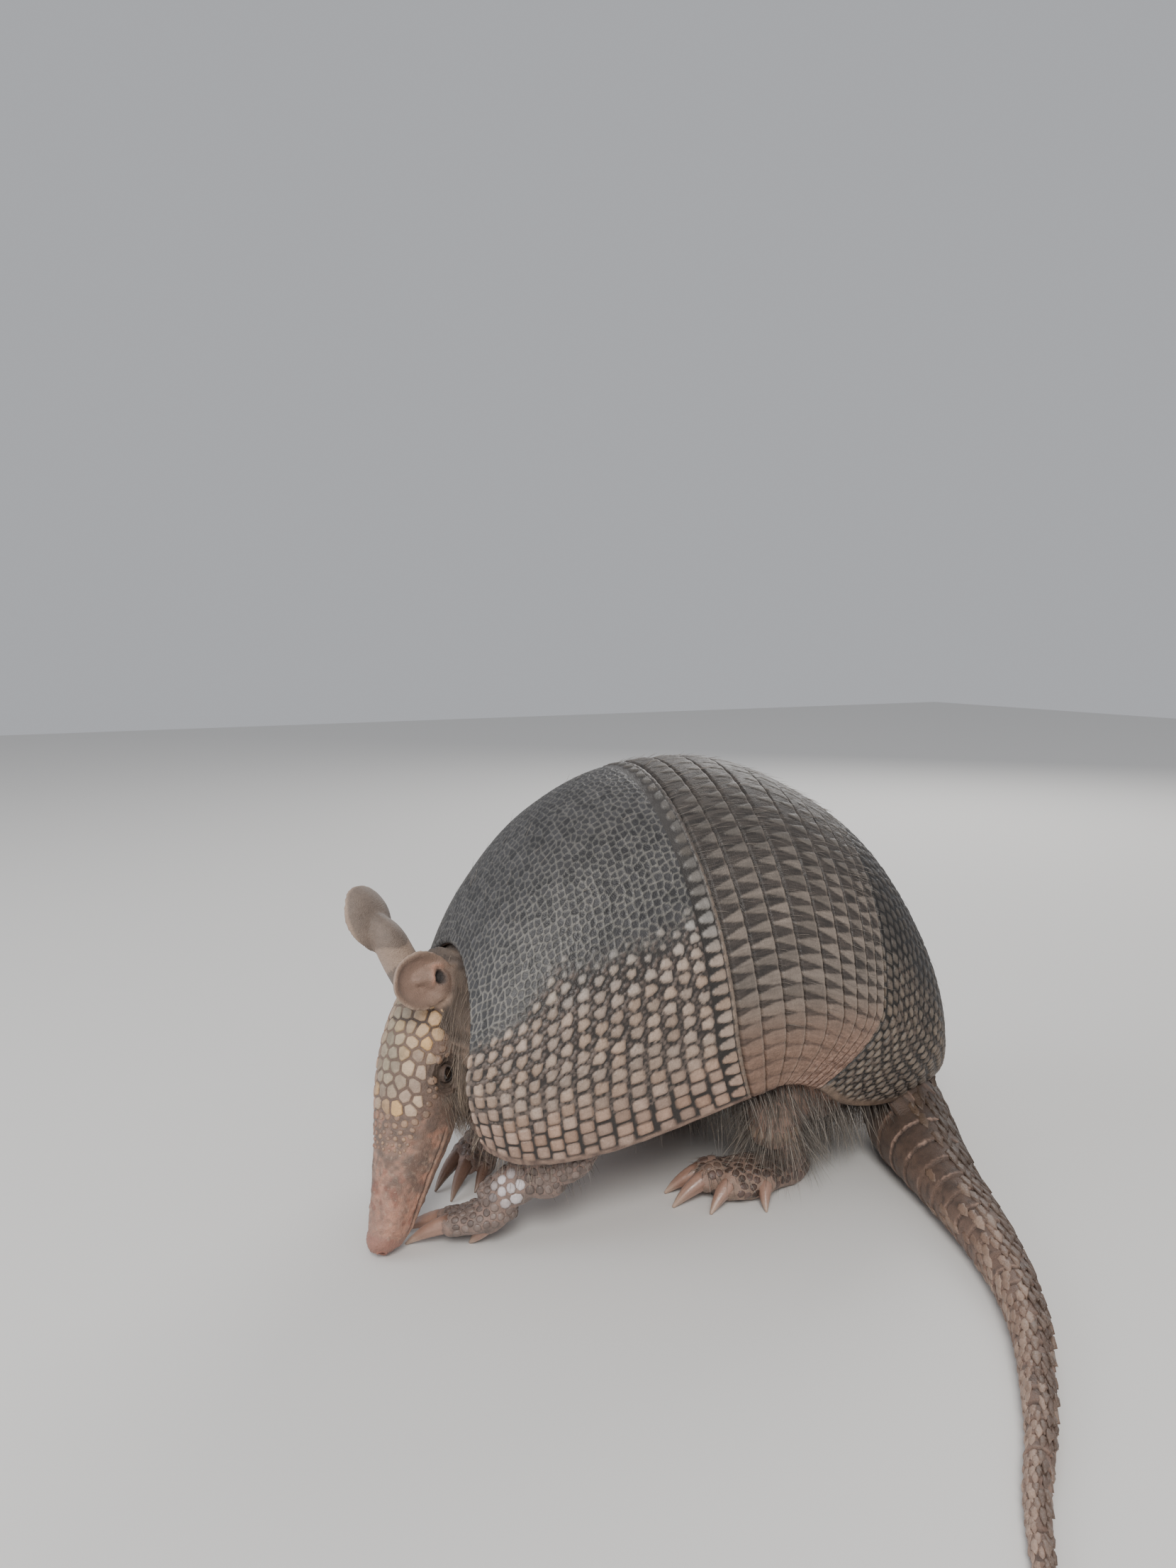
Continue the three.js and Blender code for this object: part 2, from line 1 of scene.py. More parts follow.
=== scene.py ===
import math
import bpy
import mathutils
import numpy as np
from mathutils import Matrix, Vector


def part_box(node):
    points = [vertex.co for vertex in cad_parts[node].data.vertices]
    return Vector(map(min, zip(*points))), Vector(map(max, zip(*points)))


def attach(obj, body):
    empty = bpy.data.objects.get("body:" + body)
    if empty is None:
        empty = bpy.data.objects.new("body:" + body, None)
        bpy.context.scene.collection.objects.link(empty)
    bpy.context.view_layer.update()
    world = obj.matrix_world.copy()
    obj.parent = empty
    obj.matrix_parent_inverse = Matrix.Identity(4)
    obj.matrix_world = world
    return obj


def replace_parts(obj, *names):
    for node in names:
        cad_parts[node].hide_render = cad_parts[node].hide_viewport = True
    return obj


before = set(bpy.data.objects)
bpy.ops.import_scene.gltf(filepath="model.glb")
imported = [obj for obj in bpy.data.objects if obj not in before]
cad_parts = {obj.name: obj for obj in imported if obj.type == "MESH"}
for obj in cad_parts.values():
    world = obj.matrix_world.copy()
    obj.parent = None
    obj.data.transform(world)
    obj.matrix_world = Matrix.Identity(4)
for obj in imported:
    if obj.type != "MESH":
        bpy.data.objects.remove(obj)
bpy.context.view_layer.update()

# A nine-banded armadillo. Dimensions are in millimetres along the animal's own axes:
# +X to the rump, +Y to its right, +Z up. MM turns them into metres.
MM = 0.001

# ---------------------------------------------------------------- numbers and noise

def ease(low, high, x):
    """A smooth step from 0 at low to 1 at high."""
    t = np.clip((np.asarray(x, float) - low) / (high - low), 0, 1)
    return t * t * (3 - 2 * t)


def fall(low, high, x):
    """A smooth step from 1 at low to 0 at high."""
    return 1 - ease(low, high, x)


def bell(x, width):
    """1 where x is 0, falling off on both sides."""
    return np.exp(-((x / width) ** 2))


def chance(*keys):
    """A repeatable number from 0 to 1 for each set of whole-number keys."""
    h = np.zeros(np.broadcast(*keys).shape, np.uint64) + np.uint64(0x9E3779B97F4A7C15)
    for key in keys:
        k = np.asarray(key).astype(np.int64).astype(np.uint64)
        h = (h ^ (k * np.uint64(0xBF58476D1CE4E5B9))) * np.uint64(0x94D049BB133111EB)
        h = h ^ (h >> np.uint64(29))
    return (h >> np.uint64(11)).astype(float) / 2.0**53


def grain(x, y, z=0.0, seed=0):
    """Smooth noise from -1 to 1, one lump to a unit."""
    x, y, z = np.broadcast_arrays(np.asarray(x, float), y, z)
    cx, cy, cz = np.floor(x), np.floor(y), np.floor(z)
    fx, fy, fz = (f * f * (3 - 2 * f) for f in (x - cx, y - cy, z - cz))
    total = 0
    for i in (0, 1):
        for j in (0, 1):
            for k in (0, 1):
                weight = (fx if i else 1 - fx) * (fy if j else 1 - fy) * (fz if k else 1 - fz)
                total = total + weight * chance(cx + i, cy + j, cz + k, seed)
    return 2 * total - 1


def smooth_table(table, at):
    """Rows of a table whose first column is the place, read smoothly between them."""
    table = np.asarray(table, float)
    x, y = table[:, 0], table[:, 1:]
    slope = (y[1:] - y[:-1]) / (x[1:] - x[:-1])[:, None]
    tangent = np.zeros_like(y)
    ahead, behind = (x[1:-1] - x[:-2])[:, None], (x[2:] - x[1:-1])[:, None]
    tangent[1:-1] = (slope[1:] * ahead + slope[:-1] * behind) / (ahead + behind)
    tangent[0] = 1.5 * slope[0] - 0.5 * tangent[1]
    tangent[-1] = 1.5 * slope[-1] - 0.5 * tangent[-2]
    at = np.asarray(at, float)
    i = np.clip(np.searchsorted(x, at, side="right") - 1, 0, len(x) - 2)
    h = (x[i + 1] - x[i])[..., None]
    t = (at - x[i])[..., None] / h
    return ((2 * t**3 - 3 * t**2 + 1) * y[i] + (t**3 - 2 * t**2 + t) * h * tangent[i]
            + (3 * t**2 - 2 * t**3) * y[i + 1] + (t**3 - t**2) * h * tangent[i + 1])


def paint(code):
    """A colour code such as #b49c88 as linear red, green and blue."""
    part = np.array([int(code[i:i + 2], 16) / 255 for i in (1, 3, 5)])
    return np.where(part <= 0.04045, part / 12.92, ((part + 0.055) / 1.055) ** 2.4)


def unit(v):
    v = np.asarray(v, float)
    return v / np.linalg.norm(v, axis=-1, keepdims=True)


def mix(a, b, t):
    """Blends two tints, given as colour codes or as red, green and blue."""
    a, b = (paint(tint) if isinstance(tint, str) else tint for tint in (a, b))
    t = np.asarray(t)[..., None]
    return a * (1 - t) + b * t


# ---------------------------------------------------------------- the shell's form
# place, crest x z, flank x z, rim x z, half width, sweep, shift, turn
SHELL = [
    [0.00, -142, 127, -149, 84, -141, 51, 44, 110, -18, 6],
    [0.15, -124, 154, -130, 84, -124, 45, 62, 110, -12, 5],
    [0.30, -90, 182, -94, 86, -87, 45, 76, 108, -3, 4],
    [0.46, -41, 199, -27, 90, -17, 55, 81, 107, 2, 4],
    [0.58, 10, 197.5, 20, 90, 6, 58, 82, 108, 1, 7],
    [0.70, 64, 172, 61, 88, 27, 54, 80, 110, -5, 12],
    [0.82, 97, 139, 88, 78, 50, 43, 75, 112, -13, 18],
    [0.92, 115, 103, 108, 64, 80, 37, 64, 115, -21, 22],
    [1.00, 127, 66, 119, 46, 104, 33, 42, 118, -28, 26],
]
BANDS_FROM, BANDS_TO = 0.46, 0.70
BAND_WIDTHS = [13, 14.5, 13, 15, 12, 10, 9, 7.5, 7]
PLATE = 4.0  # the shell's thickness
UNDER_PLATE = 0.9  # room between a plate's back and the skin
BACK_STEP = 8  # a plate's back has every eighth row and lane of its face


def shell_point(along, around):
    """A point of the shell: along 0 to 1 from neck to rump, around -1 to 1 from left rim to right."""
    along, around = np.broadcast_arrays(np.asarray(along, float), np.asarray(around, float))
    cx, cz, fx, fz, rx, rz, half, sweep, shift, turn = np.moveaxis(smooth_table(SHELL, along), -1, 0)
    sweep, turn = np.radians(sweep), np.radians(turn)
    angle = np.abs(around) * sweep
    tuck = np.clip((angle - np.pi / 2) / (sweep - np.pi / 2), 0, None) ** 2
    x = fx + (cx - fx) * np.cos(angle) + (rx - fx - (cx - fx) * np.cos(sweep)) * tuck
    z = fz + (cz - fz) * np.cos(angle) + (rz - fz - (cz - fz) * np.cos(sweep)) * tuck
    out = np.sign(around) * np.sin(angle) * half
    return np.stack([x + out * np.sin(turn), shift + out * np.cos(turn), z], -1)


def shell_outward(along, around):
    """The way out of the shell at each place."""
    step = 1e-3
    length = shell_point(along + step, around) - shell_point(along - step, around)
    across = shell_point(along, around + step) - shell_point(along, around - step)
    return unit(np.cross(length, across))


def shell_at(along, around, lift):
    """A point lifted off the shell's form by some millimetres."""
    return shell_point(along, around) + shell_outward(along, around) * np.asarray(lift)[..., None]


def travelled(points, axis):
    """Distance travelled over a grid of points along one of its axes."""
    steps = np.linalg.norm(np.diff(points, axis=axis), axis=-1)
    start = np.zeros_like(np.take(steps, [0], axis=axis))
    return np.concatenate([start, np.cumsum(steps, axis=axis)], axis=axis)


# ---------------------------------------------------------------- the head's form
NOSE, CROWN, HEAD_ROLL = np.array([-180.5, -30, 4.4]), np.array([-139, -1, 100.4]), 10
# distance from the nose, half width, height above the axis, depth below it
HEAD = [
    [-2.2, 2.8, 2.6, 3], [0, 5.4, 4.6, 6], [4, 7.8, 4.9, 9.6], [10, 9.2, 5.7, 12.4],
    [18, 10, 7.6, 14.8], [28, 11.4, 9.8, 16.5], [38, 13.8, 12, 18.2], [50, 16.6, 14.8, 19.6],
    [62, 18.8, 18, 19], [76, 20.4, 20.3, 16.6], [90, 20.4, 20.4, 15], [102, 19, 18.6, 13.5],
    [112, 15.5, 14, 10.5], [118, 9, 8, 6.5],
]
EYE_FROM, EYE_ANGLE, EYE_RADIUS, EYE_DEPTH = 74, 86, 3.3, 0.85

head_axis = (CROWN - NOSE) / np.linalg.norm(CROWN - NOSE)
level = np.array([0, 1, 0]) - head_axis * head_axis[1]
level /= np.linalg.norm(level)
roll = math.radians(HEAD_ROLL)
head_side = level * math.cos(roll) + np.cross(head_axis, level) * math.sin(roll)
head_up = np.cross(head_axis, head_side)


def head_point(near, angle, lift=0.0):
    """A point of the head: distance from the nose, angle from the mid-line to the right side."""
    half, up, down = np.moveaxis(smooth_table(HEAD, near), -1, 0)
    high = np.where(np.cos(angle) > 0, up, down) + lift
    near, high, wide = (np.asarray(v)[..., None] for v in
                        (near, high * np.cos(angle), (half + lift) * np.sin(angle)))
    return NOSE + near * head_axis + wide * head_side + high * head_up


def eye_centre(side):
    """The middle of an eyeball; side is -1 on the left and 1 on the right."""
    angle = side * math.radians(EYE_ANGLE)
    middle = (head_point(EYE_FROM, math.pi) + head_point(EYE_FROM, 0.0)) / 2
    return middle + EYE_DEPTH * (head_point(EYE_FROM, angle) - middle)


low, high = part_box("eye_left")
STAND = np.array((low + high) / 2) - eye_centre(-1) * MM  # where the animal stands in the frame


def placed(points):
    """The animal's millimetres as places in the frame, in metres."""
    return np.asarray(points, float) * MM + STAND


# ---------------------------------------------------------------- meshes and materials

def tinted(mesh, tint):
    """Gives each point of a mesh its own tint."""
    layer = mesh.color_attributes.new("Tint", "FLOAT_COLOR", "POINT")
    rgba = np.ones((len(mesh.vertices), 4), np.float32)
    rgba[:, :3] = np.clip(tint, 0, 1)
    layer.data.foreach_set("color", rgba.ravel())


def mapped(mesh, corners):
    """Writes the map that textures are baked on."""
    layer = mesh.uv_layers.new(name="OFBake")
    layer.data.foreach_set("uv", np.concatenate(corners).astype(np.float32).ravel())


def smoothed(mesh):
    mesh.polygons.foreach_set("use_smooth", np.ones(len(mesh.polygons), bool))
    mesh.update()


def only(piece):
    bpy.ops.object.select_all(action="DESELECT")
    bpy.context.view_layer.objects.active = piece
    piece.select_set(True)


def linked(name, mesh, material):
    """Puts a mesh in the scene as a piece that rides on the part's root."""
    piece = bpy.data.objects.new(name, mesh)
    bpy.context.scene.collection.objects.link(piece)
    mesh.materials.append(material)
    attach(piece, "root")
    return piece


def plate_piece(name, outer, inner, tint, material):
    """A closed curved plate: a fine outer grid, a coarse inner one and walls between their rims."""
    n, m = outer.shape[:2]
    p, q = inner.shape[:2]
    step_n, step_m = (n - 1) // (p - 1), (m - 1) // (q - 1)
    face = np.arange(n * m).reshape(n, m)
    back = n * m + np.arange(p * q).reshape(p, q)
    faces, corners = [], []
    unwrap = np.stack(np.meshgrid(np.linspace(0.01, 0.93, n), np.linspace(0.01, 0.99, m), indexing="ij"), -1)
    narrow = np.stack(np.meshgrid(np.linspace(0.97, 0.99, p), np.linspace(0.01, 0.99, q), indexing="ij"), -1)
    spots = np.concatenate([unwrap.reshape(-1, 2), narrow.reshape(-1, 2)])
    for grid, order in ((face, (0, 1, 3, 2)), (back, (0, 2, 3, 1))):
        cells = [grid[:-1, :-1], grid[1:, :-1], grid[:-1, 1:], grid[1:, 1:]]
        quads = np.stack([cells[i] for i in order], -1).reshape(-1, 4)
        faces += quads.tolist()
        corners.append(spots[quads].reshape(-1, 2))
    rims = [(face[:, 0], back[:, 0], step_n, 1), (face[:, -1], back[:, -1], step_n, 0),
            (face[0], back[0], step_m, 0), (face[-1], back[-1], step_m, 1)]
    for lane, (edge, seat, step, turned) in enumerate(rims):
        for i in range(len(seat) - 1):
            wall = [*edge[i * step:(i + 1) * step + 1], seat[i + 1], seat[i]]
            along = [*np.linspace(i, i + 1, step + 1), i + 1, i]
            across = [1] * (step + 1) + [0, 0]
            spot = [(0.94 + 0.006 * lane + 0.005 * b, 0.01 + 0.98 * a / (len(seat) - 1))
                    for a, b in zip(along, across)]
            if not turned:
                wall, spot = wall[::-1], spot[::-1]
            faces.append([int(v) for v in wall])
            corners.append(np.array(spot))
    mesh = bpy.data.meshes.new(name)
    points = np.concatenate([outer.reshape(-1, 3), inner.reshape(-1, 3)])
    mesh.from_pydata(placed(points).tolist(), [], faces)
    mapped(mesh, corners)
    flesh = np.broadcast_to(paint("#6b574b"), (p * q, 3))
    tinted(mesh, np.concatenate([tint.reshape(-1, 3), flesh]))
    smoothed(mesh)
    piece = linked(name, mesh, material)
    only(piece)
    bpy.ops.object.shade_smooth_by_angle(angle=math.radians(55))
    return piece


def shell_plate(name, along, around, lift, tint, thickness, material):
    """A plate of the shell: its face lifted off the shell's form, its back a coarser grid below it."""
    along_back, around_back = along[::BACK_STEP, ::BACK_STEP], around[::BACK_STEP, ::BACK_STEP]
    inner = shell_at(along_back, around_back, np.full(around_back.shape, -thickness))
    return plate_piece(name, shell_at(along, around, lift), inner, tint, material)


def node(tree, kind, settings=None, **inputs):
    """Adds a shader node; inputs are values, or sockets to link."""
    made = tree.nodes.new(kind)
    for key, value in (settings or {}).items():
        setattr(made, key, value)
    for key, value in inputs.items():
        socket = made.inputs[int(key[1:]) if key[0] == "i" and key[1:].isdigit() else key.replace("_", " ")]
        if isinstance(value, bpy.types.NodeSocket):
            tree.links.new(value, socket)
        else:
            socket.default_value = value
    return made


def horn(name, mottle, relief, rough, sheen=0.0, coat=0.0, tight=1.0):
    """Horn or skin: the piece's own tints, mottled, with a fine grain and an uneven shine."""
    material = bpy.data.materials.new(name)
    material.use_nodes = True
    tree = material.node_tree
    shader = tree.nodes["Principled BSDF"]
    place = tree.nodes.new("ShaderNodeTexCoord").outputs["Object"]
    tint = node(tree, "ShaderNodeVertexColor", {"layer_name": "Tint"}).outputs["Color"]

    def noise(scale, detail, crisp):
        return node(tree, "ShaderNodeTexNoise", Vector=place, Scale=scale * tight,
                    Detail=detail, Roughness=crisp).outputs["Fac"]

    def total(a, b):
        return node(tree, "ShaderNodeMath", {"operation": "ADD"}, i0=a, i1=b).outputs[0]

    def ranged(value, low, high, least, most):
        return node(tree, "ShaderNodeMapRange", i0=value, i1=low, i2=high, i3=least, i4=most).outputs[0]

    blotch, fleck = noise(260.0, 6.0, 0.62), noise(1300.0, 3.0, 0.7)
    both = total(blotch, fleck)
    shade = ranged(both, 0.7, 1.3, 1 - mottle, 1 + mottle)
    colour = node(tree, "ShaderNodeVectorMath", {"operation": "SCALE"}, i0=tint, Scale=shade)
    tree.links.new(colour.outputs[0], shader.inputs["Base Color"])
    tree.links.new(ranged(blotch, 0.3, 0.7, rough - 0.1, rough + 0.1), shader.inputs["Roughness"])
    pits = node(tree, "ShaderNodeTexVoronoi", {"feature": "F1"}, Vector=place, Scale=1500.0 * tight)
    lumps = total(both, pits.outputs["Distance"])
    bump = node(tree, "ShaderNodeBump", Strength=relief, Distance=0.0003, Height=lumps)
    tree.links.new(bump.outputs["Normal"], shader.inputs["Normal"])
    shader.inputs["Sheen Weight"].default_value = sheen
    shader.inputs["Coat Weight"].default_value = coat
    shader.inputs["Coat Roughness"].default_value = 0.35
    return material


shield_horn = horn("shield horn", 0.20, 0.5, 0.45, coat=0.06)
band_horn = horn("band horn", 0.20, 0.5, 0.52)
rump_horn = horn("rump horn", 0.22, 0.5, 0.48)

# ---------------------------------------------------------------- the shell's scutes

def cell(du, dv, long, wide, square):
    """How far a place lies from a scute's middle, 1 at its edge; square 2 is round, 6 nearly boxy."""
    return (np.abs(du / long) ** square + np.abs(dv / wide) ** square) ** (1 / square)


def row_seats(row, girth, pitch, jitter, seed, share, shift=0.0):
    """The three scutes of a row nearest to each place: distance around, number and room of each."""
    count = np.round(girth / pitch)
    size = girth / count
    stagger = np.where(row % 2 == 0, 0.5, 0.0) + shift
    for offset in (-1, 0, 1):
        number = np.round(share * count - stagger) + offset
        moved = number + stagger + jitter * (chance(row, number, seed) - 0.5)
        yield (share * count - moved) * size, number, size


def honeycomb(rows, length, share, girth_of, pitch, seed):
    """Distance to the nearest small jittered cell, how much farther the next one is, and a lot for each."""
    first = np.full(rows.shape, 9e9)
    second, name = first.copy(), first.copy()
    for step in (-1, 0, 1):
        row = np.round(rows) + step
        for dv, number, _ in row_seats(row, girth_of(row), pitch, 0.62, seed, share):
            du = (rows - row - 0.6 * (chance(row, number, seed + 1) - 0.5)) * length
            away = np.hypot(du, dv)
            closer = away < first
            second = np.where(closer, first, np.minimum(second, away))
            name = np.where(closer, row * 977 + number, name)
            first = np.where(closer, away, first)
    return first, second - first, chance(name, seed + 2)


SHOULDER_ROWS, SHOULDER_PITCH, SHOULDER_LANE = 17, 6.3, 0.66
COMB_ROWS, COMB_PITCH, COMB_LANE = 35, 3.5, 0.32
RUMP_ROWS, RUMP_PITCH, RUMP_LANE = 18, 6.2, 0.62
BAND_PITCH = 7.3
flank_places = np.linspace(0, 1, 401)


def row_scale(low, high, count, lane):
    """Rows of scutes evenly spaced along a lane of the shell: row of a place, place of a row."""
    run = travelled(shell_point(flank_places, np.full(401, lane)), 0)
    first, last = np.interp([low, high], flank_places, run)
    row_of = lambda along: (np.interp(along, flank_places, run) - first) / (last - first) * count
    place_of = lambda row: np.interp(first + np.clip(row / count, 0, 1) * (last - first), run, flank_places)
    return row_of, place_of


lanes = np.linspace(-1, 1, 801)
girth_places = np.linspace(0, 1, 201)
girths = travelled(shell_point(girth_places[:, None], lanes[None]), 1)[:, -1]


def girth_at(along):
    """The distance round the shell from rim to rim, for each place along it."""
    return np.interp(along, girth_places, girths)


def margin_of(side, along):
    """The distance left to the shell's lower rim."""
    return (1 - side) * girth_at(along) / 2


def even_lanes(along, spacing):
    """Places around the shell that are evenly spaced along its girth, for each row of a grid."""
    halves = 2 * BACK_STEP
    count = 1 + halves * round(girths.max() / spacing / halves)
    lengths = travelled(shell_point(along[:, None], lanes[None]), 1)
    share = np.linspace(0, 1, count)
    around = np.stack([np.interp(share * row[-1], row, lanes) for row in lengths])
    around[:, count // 2] = np.where(np.abs(around[:, count // 2]) < 0.02, around[:, count // 2], 0)
    return around, np.broadcast_to(share, around.shape)


def even_steps(low, high, spacing):
    """Places along the shell that are evenly spaced along its crest, in whole steps of a plate's back."""
    fine = np.linspace(low, high, 400)
    run = travelled(shell_point(fine, np.zeros(400)), 0)
    count = BACK_STEP * max(1, round(run[-1] / spacing / BACK_STEP))
    return np.interp(np.linspace(0, run[-1], count + 1), run, fine)


def rounding(shape, reach, open_side=None):
    """How far a plate's face falls away toward its rims, 0 to 1."""
    n, m = shape
    i, j = np.arange(n)[:, None], np.arange(m)[None]
    sides = {"front": i + 0 * j, "rear": n - 1 - i + 0 * j, "left": j + 0 * i, "right": m - 1 - j + 0 * i}
    near = np.min([way for side, way in sides.items() if side != open_side], axis=0) / reach
    return 1 - np.sqrt(np.clip(1 - np.clip(1 - near, 0, 1) ** 2, 0, 1))


def flank_tint(side, lot, other, middle):
    """The tint of a pale scute: greyish high on the flank, warm lower down and pinkish at the rim, lighter
    toward its middle from wear and a painted highlight.
    """
    warm = mix("#96928d", "#a08f82", ease(0.58, 0.72, side))
    warm = mix(warm, "#a58c7d", ease(0.84, 0.98, side))
    warm = warm * (0.74 + 0.36 * lot)[..., None]
    warm = mix(warm, warm * np.array([1.05, 0.95, 0.86]), other)
    # lighter toward the scute's middle: wear on its top plus a painted highlight
    return warm * (0.84 + 0.26 * middle)[..., None]


def uneven(du, dv, lot, other):
    """How much nearer the edge of a scute comes on each side, so that none is quite round."""
    turn = np.arctan2(dv, du)
    return 1 + 0.09 * np.cos(3 * turn + 6.3 * lot) + 0.06 * np.cos(5 * turn + 6.3 * other)


def overlay(height, tint, dome, face, cover, clear=0.0):
    """Lays a scute over what is there wherever its dome stands higher."""
    higher = dome > height + clear
    return np.where(higher, dome, height), np.where(higher[..., None], mix(tint, face, cover), tint)


# places of the dark beads between scutes, in rows and lanes, and their size
BEADS = [(-0.36, 0.5, 1.05), (0.36, 0.5, 1.05), (0.5, 0.25, 0.8), (0.5, 0.75, 0.8), (0, 0.5, 0.7)]


def scutes(rows, length, side, share, girth_of, pitch, paleness, neatness, seed):
    """Height in millimetres and tint of pale scutes set in rows, with dark beads between them."""
    height = np.zeros(rows.shape)
    tint = np.broadcast_to(paint("#2d2825"), rows.shape + (3,)).copy()
    for step in (-1, 0, 1):
        row = np.round(rows) + step
        girth = girth_of(row)
        for dv, number, size in row_seats(row, girth, pitch, 0.16, seed, share):
            lot, other = chance(row, number, seed + 2), chance(row, number, seed + 4)
            du = (rows - row - 0.12 * (chance(row, number, seed + 3) - 0.5)) * length
            pale = np.clip(paleness + 0.7 * (lot - 0.5) * (1 - np.abs(2 * paleness - 1)), 0, 1)
            reach = 0.13 + 0.25 * pale + 0.03 * lot
            long, wide = length * (reach + 0.06 * neatness), size * (reach + 0.02 + 0.05 * neatness)
            away = cell(du, dv, np.minimum(long, 1.35 * wide), wide, 2.3 + 2.6 * neatness)
            away = away * (1 + (uneven(du, dv, lot, other) - 1) * (1 - neatness))
            dome = (0.30 + 0.75 * pale) * (0.85 + 0.25 * lot) * fall(0.60, 1.02, away) * (1 - 0.22 * away**2)
            face = flank_tint(side, lot, other, fall(0.0, 0.9, away))
            cover = fall(0.84, 1.0, away) * ease(0.03, 0.3, pale)
            height, tint = overlay(height, tint, dome, face, cover)
        for ahead, aside, bead in BEADS:
            for dv, number, _ in row_seats(row, girth, pitch, 0.16, seed, share, aside):
                lot = chance(row, number, seed + 6 + round(8 * (ahead + aside)))
                du = (rows - row - ahead) * length
                away = cell(du, dv, bead * (1 + 0.5 * lot), bead * (0.9 + 0.4 * lot), 2.2)
                dome = (0.40 + 0.22 * lot) * ease(0.1, 0.6, paleness) * (1 - neatness)
                dome = dome * fall(0.35, 1.05, away)
                dull = mix("#3d3430", "#6a5d55", lot)
                height, tint = overlay(height, tint, dome, dull, fall(0.6, 1.0, away), 0.02)
    return height, tint


def teeth(height, tint, t, share, girth, pitch, side, seed, bright):
    """A row of blunt wedges across a shield's end, their points forward; t runs 0 to 1 over their length."""
    spot = share * np.round(girth / pitch) + 0.5
    number = np.floor(spot)
    lot, other = chance(number, seed), chance(number, seed + 1)
    off = spot - number - 0.5 + 0.08 * (other - 0.5)
    start = 0.34 * fall(0.25, 0.6, side) + 0.14 * lot
    u = np.clip((t - start) / (0.97 - start), 0, 1)
    wide = ((0.24 + 0.20 * ease(0, 0.8, u)) * np.sqrt(ease(-0.04, 0.22, u)) * (1 - 0.4 * ease(0.88, 1.0, u))
            * (0.9 + 0.14 * lot))
    away = np.abs(off) / wide
    inside = (t > start) & (t < 0.985) & (away < 1.4)
    dome = np.where(inside, 0.85 * fall(0.7, 1.05, away) * ease(0, 0.12, u) * fall(0.9, 1.0, u), 0)
    zone = ease(-0.06, 0.02, t) * fall(0.99, 1.03, t)
    height = height * (1 - zone) + dome * zone
    face = flank_tint(side, lot, other, fall(0.2, 0.95, away)) * (0.92 * bright)[..., None]
    cover = np.where(inside, fall(0.86, 1.02, away) * ease(0, 0.1, u) * fall(0.93, 0.99, u), 0)
    back = mix("#3f3c3a", "#292522", ease(0.35, 0.6, side))
    return height, mix(tint, mix(back, face, cover), zone)


def wrinkled_rim(height, tint, along, margin, seed):
    """The soft folded skin along the lower rim of a plate."""
    fold = fall(1.0, 2.0, margin)
    crease = 0.5 + 0.5 * grain(along * 110, margin * 0.9, seed=seed)
    height = height * (1 - fold) + fold * (0.25 + 0.35 * crease)
    return height, mix(tint, mix("#5a4840", "#8f7768", crease), fold)


shoulder_row, shoulder_place = row_scale(0, BANDS_FROM, SHOULDER_ROWS, SHOULDER_LANE)
comb_row, comb_place = row_scale(0, BANDS_FROM, COMB_ROWS, COMB_LANE)


def shoulder_half(name, open_side):
    """One half of the shoulder shield, met by the other along the crest on its open side."""
    along = even_steps(0.0, BANDS_FROM, 0.56)
    around, share = even_lanes(along, 0.6)
    crest = around.shape[1] // 2
    keep = slice(0, crest + 1) if open_side == "right" else slice(crest, None)
    around, share = around[:, keep], share[:, keep]
    along = np.broadcast_to(along[:, None], around.shape)
    side, rows, comb = np.abs(around), shoulder_row(along), comb_row(along)
    run = travelled(shell_point(along, around), 0)
    length, comb_length = (np.gradient(run, axis=0) / np.gradient(each, axis=0) for each in (rows, comb))
    places = [0.0, 0.06, 0.145, 0.228, 0.288, 0.369, 0.404, 0.46]
    upper = np.interp(along, places, [0.63, 0.62, 0.59, 0.52, 0.54, 0.555, 0.55, 0.50])
    wander = 0.025 * grain(along * 14, around * 9, seed=11)
    paleness = ease(upper - 0.04, upper + 0.16, side + wander)
    neatness = np.maximum(ease(0.80, 0.96, side + 0.5 * wander), 0.7 * fall(0.02, 0.05, along))
    girth_of = lambda row: girth_at(shoulder_place(row))
    height, tint = scutes(rows, length, side, share, girth_of, SHOULDER_PITCH, paleness, neatness, 3)

    comb_girth = lambda row: girth_at(comb_place(row))
    first, gap, lot = honeycomb(comb, comb_length, share, comb_girth, COMB_PITCH, 21)
    ridge = fall(0.25, 1.0, gap)
    deep = mix("#2b2a2b", "#3f3e3f", lot)
    # the pale ridges fade darker toward the crest: painted shade
    top_tint = mix(deep, mix("#66645f", "#807c75", lot), ridge * (0.45 + 0.4 * ease(0.15, 0.5, side)))
    height = np.maximum(height, (0.36 * ridge + 0.10 * fall(0, 1.3, first)) * fall(0.2, 0.9, paleness))
    tint = mix(tint, top_tint, np.clip((1 - paleness) * 1.3 - height * 0.6, 0, 1) * fall(0.3, 0.8, paleness))

    bright = 0.34 + 0.62 * ease(0.38, 0.72, side)
    girth = girth_at(0.44)
    height, tint = teeth(height, tint, (rows - 15.45) / 1.2, share, girth, SHOULDER_PITCH, side, 35, bright)
    hem = ease(16.66, 16.74, rows)
    notch = bell(np.mod(share * np.round(girth / 5.2), 1) - 0.5, 0.10)
    height = height * (1 - hem) + hem * (0.42 - 0.4 * notch)
    tint = mix(tint, mix("#4f4843", "#75675b", ease(0.3, 0.7, side)), hem * (1 - 0.6 * notch))

    margin = (1 - side) * girth_of(rows) / 2
    height, tint = wrinkled_rim(height, tint, along, margin, 31)
    lift = height - 1.0 - 1.2 * rounding(around.shape, 3, open_side)
    return shell_plate(name, along, around, lift, tint, PLATE * 0.85, shield_horn)


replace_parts(shoulder_half("shoulder_shield_left", "right"), "scapular_shield")
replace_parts(shoulder_half("shoulder_shield_right", "left"), "scapular_shield")


# ---------------------------------------------------------------- the bands

